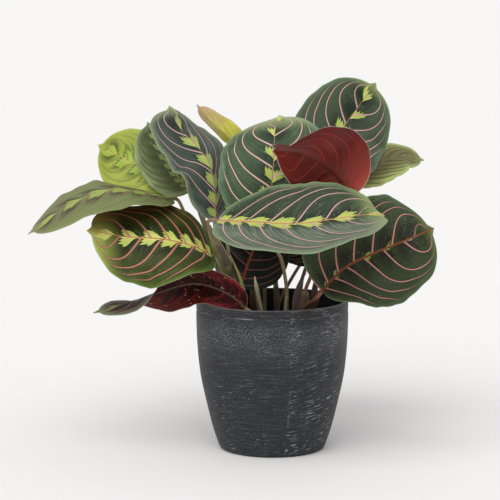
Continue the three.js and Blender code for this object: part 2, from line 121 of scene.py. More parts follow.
def turned(profile, sides):
    """Points and faces of a solid turned about Z from a closed (radius, height) profile."""
    profile = np.asarray(profile, float)
    angle = 2 * math.pi * np.arange(sides) / sides
    rings = [(r * np.sin(angle), -r * np.cos(angle), np.full(sides, z)) for r, z in profile[1:-1]]
    points = [[0, 0, profile[0][1]]] + [p for ring in rings for p in np.stack(ring, 1).tolist()]
    points.append([0, 0, profile[-1][1]])
    last = 1 + (len(rings) - 1) * sides
    faces = []
    for k in range(sides):
        n = (k + 1) % sides
        faces.append([0, 1 + n, 1 + k])
        faces += [[a + k, a + n, a + sides + n, a + sides + k] for a in range(1, last, sides)]
        faces.append([last + k, last + n, len(points) - 1])
    return points, faces


def srgb(colour):
    """Linear colour of an sRGB hex colour."""
    parts = [int(colour[k : k + 2], 16) / 255 for k in (1, 3, 5)]
    return [c / 12.92 if c <= 0.04045 else ((c + 0.055) / 1.055) ** 2.4 for c in parts] + [1.0]


def add_node(tree, kind, inputs=(), output=0, **settings):
    """Adds a node with its settings, links or sets its inputs and returns one output. inputs: by
    name, or a list in the node's own order. MapRange's is value, from min and max, to min and max."""
    node = tree.nodes.new("ShaderNode" + kind)
    for name, value in settings.items():
        setattr(node, name, value)
    for key, value in inputs.items() if isinstance(inputs, dict) else enumerate(inputs):
        if isinstance(value, bpy.types.NodeSocket):
            tree.links.new(value, node.inputs[key])
        else:
            node.inputs[key].default_value = srgb(value) if isinstance(value, str) else value
    return None if output is None else node.outputs[output]


def new_material(name):
    """Empty material, and add_node for its own tree."""
    material = bpy.data.materials.new(name)
    material.use_nodes = True
    material.node_tree.nodes.clear()
    return material, functools.partial(add_node, material.node_tree)


def coated(add, colour, *coats):
    """Colour with coats laid over it in turn. Each coat: where it lies, how well it covers, paint."""
    for where, cover, paint in coats:
        share = add("Math", [where, cover], operation="MULTIPLY")
        colour = add("MixRGB", [share, colour, paint])
    return colour


def finish_material(material, add, surface, relief=None):
    """Gives a material its surface. relief: a pattern of heights, its strength, its depth in mm."""
    if relief:
        height, strength, depth = relief
        surface["Normal"] = add("Bump", {"Height": height, "Strength": strength, "Distance": depth * MM})
    add("OutputMaterial", {"Surface": add("BsdfPrincipled", surface)}, output=None)
    return material


def dry_brushed_charcoal():
    """Charcoal paint with pale grey dragged over it: level streaks, specks and short strokes."""
    material, add = new_material("dry_brushed_charcoal_paint")
    place = add("TexCoord", output="Object")
    # Turned so that the brush's starting line, where the strokes overlap, falls at half a turn.
    turn = math.radians(180) - (SEAM_ANGLE - math.radians(90))
    turned_place = add("Mapping", {"Vector": place, "Rotation": (0, 0, turn)})
    x, y, z = (add("SeparateXYZ", [turned_place], axis) for axis in "XYZ")
    angle = add("Math", [y, x], operation="ARCTAN2")
    past_seam = add("Math", [angle, math.pi], operation="ADD")
    right_of_seam = add("MapRange", [past_seam, 3.1, 1.5], **SOFT_EDGE)
    # Strokes rise to the right of the seam, about 1.5 mm in 10, and lie level below the rim.
    steep = add("MapRange", [z, 0.106, 0.085, 0.0, 0.009])
    rise = add("Math", [past_seam, steep], operation="MULTIPLY")
    rise = add("Math", [rise, right_of_seam], operation="MULTIPLY")
    level = add("Math", [z, rise], operation="SUBTRACT")
    arc = add("Math", [angle, BRUSHED_RADIUS * MM], operation="MULTIPLY")
    brush = add("CombineXYZ", [arc, level])

    def dragged(round_wall, up_wall, detail, ragged=0.5):
        """Noise drawn out along the brush, by its cells per metre round the wall and up it."""
        stretched = add("VectorMath", [brush, (round_wall, up_wall, 1)], operation="MULTIPLY")
        return add("TexNoise", {"Vector": stretched, "Scale": 1.0, "Detail": detail, "Roughness": ragged})

    broad = add("TexNoise", {"Vector": brush, "Scale": 45.0, "Detail": 3.0})
    # Bristle lines: about 1 mm apart up the wall, 22 mm long round it.
    lines = dragged(45, 1100, 6.0, 0.75)
    lines = add("MapRange", [lines, 0.5, 0.66], **SOFT_EDGE)
    # Grain of the dry paint: broken flecks 0.5 mm high and 1 to 3 mm long.
    grain = dragged(520, 1900, 4.0, 0.7)
    flecks = add("MapRange", [grain, 0.52, 0.7], **SOFT_EDGE)
    pits = add("MapRange", [grain, 0.46, 0.3], **SOFT_EDGE)
    # Short bright strokes: under 1 mm high, 5 to 10 mm long, where the brush pressed harder:
    # right of the seam and, low on the wall, along it.
    strokes = dragged(95, 1250, 2.0)
    by_seam = add("MapRange", [past_seam, 0.1, 0.0])
    low_wall = add("MapRange", [z, 0.08, 0.06])
    by_seam = add("Math", [by_seam, low_wall], operation="MULTIPLY")
    pressed = add("Math", [by_seam, 0.35, right_of_seam], operation="MULTIPLY_ADD")
    need = add("MapRange", [pressed, 0.0, 1.35, 0.66, 0.57])
    sure = add("Math", [need, 0.07], operation="ADD")
    strokes = add("MapRange", [strokes, need, sure], **SOFT_EDGE)
    patch = add("MapRange", [broad, 0.4, 0.62], **SOFT_EDGE)
    strokes = add("Math", [strokes, patch], operation="MULTIPLY")
    # Specks of 0.8 mm where the wall curves in below the rim, in clouds.
    specks = add("TexNoise", {"Vector": brush, "Scale": 1250.0, "Detail": 2.0})
    specks = add("MapRange", [specks, 0.5, 0.7], **SOFT_EDGE)
    low = add("MapRange", [z, 0.07, 0.095], **SOFT_EDGE)
    high = add("MapRange", [z, 0.112, 0.102, 0.25], **SOFT_EDGE)
    zone = add("Math", [low, high], operation="MULTIPLY")
    cloud = add("MapRange", [broad, 0.3, 0.6, 0.2])
    zone = add("Math", [zone, cloud], operation="MULTIPLY")
    specks = add("Math", [specks, zone], operation="MULTIPLY")
    # The rim's edge and the lip of the groove catch more of the pale paint, and the rim's edge carries a
    # painted highlight as well.
    edge = add("MapRange", [z, 0.1180, 0.1188, 0.0, 0.45])
    over_groove = add("Math", [z, (GROOVE_HEIGHT + 0.9) * MM], operation="SUBTRACT")
    over_groove = add("Math", [over_groove], operation="ABSOLUTE")
    lip = add("MapRange", [over_groove, 0.0007, 0.0002])
    lip = add("Math", [lip, lines], operation="MULTIPLY")
    caught_paint_and_highlight = add("Math", [edge, lip], operation="MAXIMUM")
    rim_band = add("MapRange", [z, 0.1105, 0.1125])
    flecks_cover = add("Math", [lines, 0.4, 0.22], operation="MULTIPLY_ADD")

    charcoal = add("MixRGB", [broad, "#111215", "#1c1e23"])
    colour = coated(
        add, charcoal, (rim_band, 0.7, "#0b0b0c"), (pits, 1.0, "#0c0c0e"), (lines, 0.36, "#6c6e72"),
        (flecks, flecks_cover, "#8e9094"), (strokes, 0.75, "#b8b9bb"), (specks, 0.75, "#a3a4a6"),
        (caught_paint_and_highlight, 0.7, "#a4a5a7"),
    )
    paint = add("Math", [lines, strokes], operation="ADD")
    paint = add("Math", [paint, flecks], operation="ADD")
    rough = add("MapRange", [broad, 0.0, 1.0, 0.48, 0.7])
    surface = {"Base Color": colour, "Roughness": rough, "IOR": 1.49, "Specular IOR Level": 0.4}
    return finish_material(material, add, surface, (paint, 0.25, 0.2))


def two_toned(name, dark, light, rough, scale, detail, ragged=0.5, relief=None, ends=(0.0, 1.0), ior=1.5):
    """Matter whose grain, scale cells to a metre, runs from a dark tone to a light one."""
    material, add = new_material(name)
    place = add("TexCoord", output="Object")
    grain = add("TexNoise", {"Vector": place, "Scale": scale, "Detail": detail, "Roughness": ragged})
    tone = add("MapRange", [grain, *ends])
    colour = add("MixRGB", [tone, dark, light])
    surface = {"Base Color": colour, "Roughness": rough, "IOR": ior}
    return finish_material(material, add, surface, relief and (grain, *relief))


# Bare black plastic inside the pot: dull, faintly dusty from the soil.
black_inside = two_toned("black_moulded_polypropylene", "#0e0e0f", "#232120", 0.6, 160.0, 4.0, ior=1.49)

outer_wall = curve_point(POT_OUTLINE, np.linspace(0, 1, OUTER_STEPS + 1))
for point in outer_wall:
    near_groove = (point[1] - GROOVE_HEIGHT) / GROOVE_HALF_WIDTH
    point[0] -= GROOVE_DEPTH * math.exp(-near_groove * near_groove)
inner_shares = np.linspace(0.04, 1, INNER_STEPS + 1)[::-1]
inner_wall = curve_point(POT_OUTLINE, inner_shares) - np.array([POT_WALL, 0])
inner_wall = [p for p in inner_wall if p[1] > POT_FLOOR + INSIDE_ROUNDING]
rim = []
for k in range(1, RIM_STEPS):
    a = math.pi * k / RIM_STEPS
    rim.append((
        POT_RADIUS - POT_WALL / 2 * (1 - math.cos(a)),
        POT_HEIGHT - RIM_ROUNDING * (1 - math.sin(a)),
    ))
pot_profile = [*POT_FOOT, *outer_wall, *rim, *inner_wall, *POT_INSIDE]
pot_points, pot_faces = turned(pot_profile, POT_SIDES)
inside_from = 1 + (len(POT_FOOT) - 1 + len(outer_wall) + len(rim) - 2) * POT_SIDES
pot_kinds = [int(min(face) >= inside_from) for face in pot_faces]
pot_skins = [dry_brushed_charcoal(), black_inside]
pot = new_piece("pot_dry_brushed", pot_points, pot_faces, pot_skins, pot_kinds)
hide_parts("pot")


# Soil: moist peat-based potting mix, dark brown, settled a little lower at the wall than in
# the middle. Lumps of 2 to 10 mm stand out of it, with bark chips and white perlite grains.
SOIL_EDGE_HEIGHT = 99.0
SOIL_CENTRE_HEIGHT = 102.0
SOIL_RADIUS = 56.4
SOIL_RINGS = 60
SOIL_SECTORS = 180
SOIL_WALL = [(0, 4.4), (38, 4.4), (42.5, 16.5), (47.8, 36.5), (52.2, 58), (54.5, 79)]


def soil_height(x, y):
    """Height of the soil's top in millimetres: a low dome with lumps and crumbs."""
    reach = min(1.0, math.hypot(x, y) / SOIL_RADIUS)
    dome = SOIL_CENTRE_HEIGHT + (SOIL_EDGE_HEIGHT - SOIL_CENTRE_HEIGHT) * reach**2
    lumps = noise.fractal(Vector((x / 11, y / 11, 3.1)), 0.9, 2.1, 5)
    return dome - 0.6 + 1.6 * lumps


# Damp peat: nearly black hollows, warm brown crumbs, matt.
potting_mix = two_toned(
    "moist_potting_mix", "#120d0a", "#4a382a", 0.92, 520.0, 6.0, 0.7, relief=(0.7, 1.2), ends=(0.3, 0.75)
)
soil_top = [(SOIL_RADIUS * i / SOIL_RINGS, SOIL_CENTRE_HEIGHT) for i in range(SOIL_RINGS, -1, -1)]
soil_points, soil_faces = turned(SOIL_WALL + soil_top, SOIL_SECTORS)
for point in soil_points:
    if point[2] == SOIL_CENTRE_HEIGHT:
        point[2] = soil_height(point[0], point[1])
soil = new_piece("soil_potting_mix", soil_points, soil_faces, [potting_mix])
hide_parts("soil")

# Bark chips and perlite: chopped pine bark and puffed volcanic glass, mixed through the soil
# when it was made up. Those at the top lie half sunk in it, at every angle.
BARK_COUNT = 110
PERLITE_COUNT = 70
STREWN_RADIUS = 54.0
LUMP_CORNERS = [
    (0.0, 0.0, 1.0), (0.94, 0.0, 0.33), (-0.47, 0.82, 0.33), (-0.47, -0.82, 0.33),
    (0.47, 0.82, -0.33), (0.47, -0.82, -0.33), (-0.94, 0.0, -0.33), (0.0, 0.0, -1.0),
    (0.5, 0.5, 0.7), (-0.6, 0.1, 0.75), (0.2, -0.7, 0.7), (0.6, 0.1, -0.75), (-0.4, 0.5, -0.75),
    (-0.3, -0.6, -0.7),
]


def rough_lump(centre, size, draw):
    """Convex angular lump with the given half sizes, turned any way."""
    shape = bmesh.new()
    spin = Vector((draw.uniform(-1, 1), draw.uniform(-1, 1), draw.uniform(-1, 1))).to_track_quat("Z", "Y")
    for corner in LUMP_CORNERS:
        p = Vector([c * s * draw.uniform(0.8, 1.15) for c, s in zip(corner, size)])
        shape.verts.new(Vector(centre) + spin @ p)
    hull = bmesh.ops.convex_hull(shape, input=shape.verts)
    spare = [v for v in hull["geom_interior"] + hull["geom_unused"] if isinstance(v, bmesh.types.BMVert)]
    bmesh.ops.delete(shape, geom=spare, context="VERTS")
    bmesh.ops.triangulate(shape, faces=shape.faces)
    shape.verts.index_update()
    points = [tuple(v.co) for v in shape.verts]
    faces = [[v.index for v in f.verts] for f in shape.faces]
    shape.free()
    return points, faces


def scatter(name, count, sizes, seed, material):
    """Lumps strewn over the soil, as one piece."""
    draw = random.Random(seed)
    points, faces = [], []
    for _ in range(count):
        a, r = draw.uniform(0, 2 * math.pi), STREWN_RADIUS * math.sqrt(draw.random())
        size = [draw.uniform(*span) for span in sizes]
        x, y = (r - min(r, max(size))) * math.cos(a), (r - min(r, max(size))) * math.sin(a)
        more, sides = rough_lump((x, y, soil_height(x, y) + 0.25 * min(size)), size, draw)
        faces += [[len(points) + k for k in side] for side in sides]
        points += more
    piece = new_piece(name, points, faces, [material])
    piece.data.polygons.foreach_set("use_smooth", [False] * len(faces))


# Weathered bark: red brown, darker in its fibres, dull. Puffed perlite: chalky white, grey pores.
pine_bark = two_toned("chopped_pine_bark", "#1d130d", "#6b4a33", 0.88, 700.0, 5.0, 0.65, relief=(0.6, 0.6))
perlite = two_toned("puffed_perlite", "#a9a59c", "#efece4", 0.95, 1600.0, 3.0, relief=(0.5, 0.4))
scatter("soil_bark", BARK_COUNT, [(1.5, 4.5), (1.2, 3.0), (0.6, 1.4)], 5, pine_bark)
scatter("soil_perlite", PERLITE_COUNT, [(0.7, 1.7), (0.7, 1.5), (0.6, 1.3)], 9, perlite)


# Leaf blades: oval blades of a living prayer plant, about 0.5 mm thick and thinner at the margin.
# Each is one sheet grown from its midrib, pleated along its arching lateral veins, waved at its
# margin and stiffened below by a keel that runs out toward the tip. The faces carry measured
# distances (to midrib, vein and margin), which the markings are drawn from.
LEAF_ROWS = 90
LEAF_COLUMNS = 64
ROW_SWEEP = 0.26
VEIN_SPREAD = 0.75
SIDE_SHIFT = 0.45
PLEAT_DEPTH = 0.3
KEEL_DEPTH = 2.1
KEEL_HALF_WIDTH = 1.9
STUB_HALF_WIDTH = 1.6
TIP_HALF_WIDTH = 0.5
MIDRIB_GROOVE = 0.3
HALF_THICKNESS = 0.25
MARGIN_THINNING = 0.13
leaf_bases = {}


def along_curve(points, share):
    """Points and directions at shares (0 to 1) of a smooth curve's length."""
    t = np.linspace(0, 1, 201)
    steps = np.linalg.norm(np.diff(curve_point(points, t), axis=0), axis=1)
    length = np.concatenate([[0], np.cumsum(steps)])
    place = np.interp(np.clip(share, 0, 1) * length[-1], length, t)
    before, after = np.maximum(place - 1e-4, 0), np.minimum(place + 1e-4, 1)
    ahead = curve_point(points, after) - curve_point(points, before)
    return curve_point(points, place), ahead / np.linalg.norm(ahead, axis=-1, keepdims=True)


def value_along(values, share):
    """Value at shares (0 to 1) of a list of evenly spaced numbers or vectors."""
    values = np.asarray(values, float)
    if len(values) == 1:
        return np.broadcast_to(values[0], share.shape + values.shape[1:])
    place = np.clip(share, 0, 1) * (len(values) - 1)
    index = np.minimum(place.astype(int), len(values) - 2)
    part = place - index
    if len(values) == 2:
        part = part * part * (3 - 2 * part)
    part = part.reshape(part.shape + (1,) * (values.ndim - 1))
    return values[index] * (1 - part) + values[index + 1] * part


def outline_share(s):
    """Half-width as a share of the widest: round base, short sudden point."""
    place = np.clip(s / 0.965, 0, 1) ** 0.96
    body = np.sqrt(np.maximum(0, 1 - np.abs(1 - 2 * place) ** 2.3))
    point = 0.1 * np.clip((1 - s) / 0.035, 0, 1.2)
    return np.where(s > 0.9, np.maximum(body, point), body)


def distance_to_line(points, line):
    """Least distance from each point to a polyline."""
    start, step = line[:-1], np.diff(line, axis=0)
    length = np.maximum((step**2).sum(1), 1e-12)
    away = points[:, None, :] - start[None]
    share = np.clip((away * step).sum(-1) / length, 0, 1)
    return np.sqrt(((away - share[..., None] * step) ** 2).sum(-1).min(1))


def vein_start(s, reach, lean):
    """Share of the midrib at which the vein through (s, reach) leaves it, found by halving."""
    low, high = np.zeros_like(s), np.ones_like(s)
    for _ in range(30):
        start = (low + high) / 2
        beyond = start + (1 - start) * start**0.35 * (lean * reach + (1.29 - lean) * reach**5) > s
        low, high = np.where(beyond, low, start), np.where(beyond, start, high)
    return (low + high) / 2


def sheet_faces(rows, columns):
    """Faces of a thin closed sheet: upper and lower side, then left, right, base and tip rims."""
    number = np.arange(rows * columns).reshape(rows, columns)
    below = number + rows * columns
    a, b, c, d = number[:-1, :-1], number[:-1, 1:], number[1:, 1:], number[1:, :-1]
    return [
        np.stack([a, b, c, d], -1).reshape(-1, 4),
        np.stack([a, d, c, b], -1).reshape(-1, 4) + rows * columns,
        np.stack([number[:-1, 0], number[1:, 0], below[1:, 0], below[:-1, 0]], -1),
        np.stack([number[:-1, -1], below[:-1, -1], below[1:, -1], number[1:, -1]], -1),
        np.stack([number[0, :-1], below[0, :-1], below[0, 1:], number[0, 1:]], -1),
        np.stack([number[-1, :-1], number[-1, 1:], below[-1, 1:], below[-1, :-1]], -1),
    ]


def keep_marks(piece, marks):
    """Stores measured values on a piece's points, for its material to read."""
    for mark, values in marks.items():
        field = piece.data.attributes.new(mark, "FLOAT", "POINT")
        field.data.foreach_set("value", np.asarray(values, np.float32).ravel())


def grow_leaf(name, faces_of, spine, up, width, seed, fold=(4,), curl=(-10,), wave=(1, 3, 0),
              veins=7.5, lean=0.34, fold_left=None, fold_right=None, curl_left=None, curl_right=None):
    """One leaf blade. spine: base to tip; up: where its face looks; fold and curl: degrees
    along it, per half if given; wave: depth in mm, count and start of the margin's waves;
    veins: number of lateral veins in one half; lean: how far they lean toward the tip."""
    draw = random.Random(seed)
    # Rows t run from base to tip, closer together at the base, and columns u from the left margin
    # (-1) over the midrib (0) to the right one (1). A row sweeps toward the tip on its way out,
    # so s is how far along the midrib's curve a point lies.
    x = np.linspace(-1, 1, LEAF_COLUMNS + 1)
    rows_at = (np.arange(LEAF_ROWS + 1) / LEAF_ROWS) ** 1.15
    t, u = np.meshgrid(rows_at, x * (0.55 + 0.45 * np.abs(x)), indexing="ij")
    reach, left = np.abs(u), u < 0
    side = np.where(left, -1.0, 1.0)
    sweep = ROW_SWEEP * np.sin(np.pi * t)
    s, s_margin = t + sweep * reach**1.3, t + sweep
    middle, along = along_curve(spine, s)
    facing = value_along(up, s)
    facing = facing - along * (facing * along).sum(-1, keepdims=True)
    facing /= np.linalg.norm(facing, axis=-1, keepdims=True)
    across = np.cross(along, facing) * side[..., None]

    # A grown margin is never quite even: two slow wobbles of about half a millimetre.
    uneven = 0.011 * np.sin(2 * np.pi * 3.3 * s_margin + draw.uniform(0, 6) + 2.0 * left)
    uneven += 0.007 * np.sin(2 * np.pi * 8.1 * s_margin + draw.uniform(0, 6) - 1.3 * left)
    least = STUB_HALF_WIDTH + (TIP_HALF_WIDTH - STUB_HALF_WIDTH) * s_margin
    half = np.maximum(least, width / 2 * outline_share(s_margin) * (1 + uneven))
    bend = np.minimum(1, half / 10)
    fold_at = np.where(left, value_along(fold_left or fold, s), value_along(fold_right or fold, s))
    curl_at = np.where(left, value_along(curl_left or curl, s), value_along(curl_right or curl, s))
    fold_at, curl_at = bend * np.radians(fold_at), bend * np.radians(curl_at)
    curl_at = np.where(np.abs(curl_at) < 1e-3, 1e-3, curl_at)
    bent_out = half * np.sin(curl_at * reach) / curl_at
    bent_up = half * (1 - np.cos(curl_at * reach)) / curl_at
    out = bent_out * np.cos(fold_at) - bent_up * np.sin(fold_at)
    rise = bent_out * np.sin(fold_at) + bent_up * np.cos(fold_at)
    depth, count, start = wave
    rise += depth * reach**2 * np.sin(2 * np.pi * count * s + start + 2.0 * left) * np.sin(np.pi * s)
    rise += 0.3 * reach**4 * np.sin(2 * np.pi * 7.0 * s + draw.uniform(0, 6) + left) * np.sin(np.pi * s)
    sheet = middle + across * out[..., None] + facing * rise[..., None]

    by_row, by_column = np.gradient(sheet, axis=0), np.gradient(sheet, axis=1)
    normal = np.cross(by_column, by_row)
    normal /= np.maximum(np.linalg.norm(normal, axis=-1, keepdims=True), 1e-9)
    rank = veins * vein_start(s, reach, lean) ** VEIN_SPREAD
    phase = rank + np.where(left, 0, SIDE_SHIFT)
    level_phase = phase - rank + veins * s**VEIN_SPREAD
    pleat = -PLEAT_DEPTH * np.cos(2 * np.pi * phase) * 5.2 * reach * (1 - reach) ** 1.5 * np.sin(np.pi * t)
    from_midrib = reach * half
    groove = MIDRIB_GROOVE * np.exp(-((from_midrib / 0.9) ** 2)) * (1 - t)
    keel = KEEL_DEPTH * (1 - 0.85 * t) * np.maximum(0, 1 - (from_midrib / KEEL_HALF_WIDTH) ** 2) ** 1.2
    thick = HALF_THICKNESS - MARGIN_THINNING * reach**2
    sheet = sheet + normal * pleat[..., None]
    upper = sheet + normal * (thick - groove)[..., None]
    lower = sheet - normal * (thick + keel)[..., None]

    # Distance from one vein to the next, square to them: one over the slope of their rank.
    rank_row, rank_column = np.gradient(rank, axis=0), np.gradient(rank, axis=1)
    rows_sq, both, columns_sq = (by_row**2).sum(-1), (by_row * by_column).sum(-1), (by_column**2).sum(-1)
    slope_sq = columns_sq * rank_row**2 - 2 * both * rank_row * rank_column + rows_sq * rank_column**2
    spacing = np.sqrt(np.maximum(rows_sq * columns_sq - both**2, 1e-9) / np.maximum(slope_sq, 1e-9))
    to_left, to_right = (
        distance_to_line(sheet.reshape(-1, 3), sheet[:, column]).reshape(t.shape) for column in (0, -1)
    )

    face_groups = sheet_faces(*t.shape)
    faces = np.concatenate(face_groups)
    face_count = len(face_groups[0])
    lower_side = np.arange(len(faces)) // face_count == 1
    points = np.concatenate([upper.reshape(-1, 3), lower.reshape(-1, 3)])
    leaf = new_piece(name, points, faces, faces_of, lower_side)
    marks = {
        "vein_phase": phase, "vein_spacing": spacing, "from_midrib": from_midrib,
        "from_margin": np.where(left, to_left, to_right), "reach": reach, "along": s, "side": left,
        "level_phase": level_phase, "rank": rank / veins,
    }
    keep_marks(leaf, {mark: [values, values] for mark, values in marks.items()})

    # Flat layout of the skin: upper face on the left, lower on the right, rims in narrow strips.
    flat = np.stack([0.24 + 0.23 * u, 0.02 + 0.96 * t], -1).reshape(-1, 2)
    corner = np.concatenate([flat, flat + [0.5, 0]])[faces]
    first = 2 * face_count
    for strip, centre in zip(face_groups[2:], (0.485, 0.985, 0.49, 0.99)):
        corner[first : first + len(strip), :, 0] = centre + 0.002 * (strip >= t.size)
        first += len(strip)
    layout = leaf.data.uv_layers.new(name="OFBake")
    layout.data.foreach_set("uv", corner.astype(np.float32).ravel())
    leaf_bases[name] = (middle[0, 0], along[0, 0], facing[0, 0])
    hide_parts(name[: name.rindex("_blade")])


def leaf_marks(add, seed, lime_width, lime_root, lime_share, lime_start, blur):
    """Patterns shared by both faces, by name: what grow_leaf measured, then place, ragged, part,
    off_vein (mm), lime and streaks."""
    marks = {
        name: add("Attribute", output="Fac", attribute_name=name)
        for name in ("vein_phase", "vein_spacing", "from_midrib", "from_margin", "reach", "along", "side",
                     "level_phase", "rank")
    }
    place = marks["place"] = add("TexCoord", output="Object")
    ragged = marks["ragged"] = add("TexNoise", {"Vector": place, "Scale": 1100.0, "Detail": 2.0})
    # Veins leave the midrib by turns, but the blocks of both halves stand opposite each other.
    # They end square to the midrib more than along the veins.
    opposite = SIDE_SHIFT - 0.1
    slant = add("Math", [marks["vein_phase"], marks["level_phase"]], operation="SUBTRACT")
    slant = add("Math", [slant, 0.4, marks["level_phase"]], operation="MULTIPLY_ADD")
    paired = add("Math", [marks["side"], opposite, slant], operation="MULTIPLY_ADD")
    paired = add("Math", [paired, opposite], operation="SUBTRACT")
    part = marks["part"] = add("Math", [paired], operation="FRACT")
    # Each block has two random numbers of its own, by its number, its side and the leaf's seed.
    block = add("Math", [paired], operation="FLOOR")
    block = add("Math", [marks["side"], 37.0, block], operation="MULTIPLY_ADD")
    block = add("Math", [block, seed * 91.0], operation="ADD")
    chance = add("TexWhiteNoise", {"W": block}, noise_dimensions="1D")
    other = add("Math", [block, 0.37], operation="ADD")
    other = add("TexWhiteNoise", {"W": other}, noise_dimensions="1D")

    # Distance to the nearest lateral vein, in mm.
    off_vein = add("Math", [marks["vein_phase"], 0.5], operation="PINGPONG")
    marks["off_vein"] = add("Math", [off_vein, marks["vein_spacing"]], operation="MULTIPLY")

    # Herringbone block between two veins: narrow at the lower vein, wider toward the next one,
    # ending there in a few steps that point outward and toward the tip.
    grown = add("MapRange", [chance, 0.0, 1.0, 0.8 * lime_width, 1.2 * lime_width])
    present = add("Math", [other, lime_share], operation="LESS_THAN")
    grown = add("Math", [grown, present], operation="MULTIPLY")
    by_tip = add("MapRange", [marks["along"], 1.0, 0.72, 0.35])
    grown = add("Math", [grown, by_tip], operation="MULTIPLY")
    # Toward the tip they start farther from the vein before them, so gaps open between them.
    apart = add("MapRange", [marks["along"], 0.4, 0.75])
    open_at = add("Math", [apart, 0.2, lime_start], operation="MULTIPLY_ADD")
    full_at = add("Math", [open_at, 0.34], operation="ADD")
    root = add("Math", [apart, -lime_root, lime_root], operation="MULTIPLY_ADD")
    fan = add("MapRange", [part, open_at, full_at, root], **SOFT_EDGE)
    teeth = add("Math", [part, 2.3, other], operation="MULTIPLY_ADD")
    teeth = add("Math", [teeth], operation="FRACT")
    teeth = add("Math", [teeth, 0.26, 0.8], operation="MULTIPLY_ADD")
    width = add("Math", [grown, fan], operation="MULTIPLY")
    width = add("Math", [width, teeth], operation="MULTIPLY")
    inside = add("Math", [width, marks["from_midrib"]], operation="SUBTRACT")
    step = add("Math", [marks["from_midrib"], 1 / 2.6, other], operation="MULTIPLY_ADD")
    step = add("Math", [step], operation="FRACT")
    stop = add("Math", [step, 0.17, 0.83], operation="MULTIPLY_ADD")
    stop = add("Math", [stop, part], operation="SUBTRACT")
    stop = add("Math", [stop, marks["vein_spacing"]], operation="MULTIPLY")
    inside = add("Math", [inside, stop], operation="MINIMUM")
    shake = add("Math", [ragged, 0.5], operation="SUBTRACT")
    inside = add("Math", [shake, 0.9, inside], operation="MULTIPLY_ADD")
    marks["lime"] = add("MapRange", [inside, -blur, blur], **SOFT_EDGE)

    # Streaks run with the veins: about 13 to a gap, each a third of the half's width long.
    streak = add("CombineXYZ", [marks["vein_phase"], marks["reach"], marks["side"]])
    streak = add("VectorMath", [streak, (13, 3, 9), (0, 0, seed * 3.7)], operation="MULTIPLY_ADD")
    marks["streaks"] = add("TexNoise", {"Vector": streak, "Scale": 1.0, "Detail": 3.0, "Roughness": 0.6})
    return marks


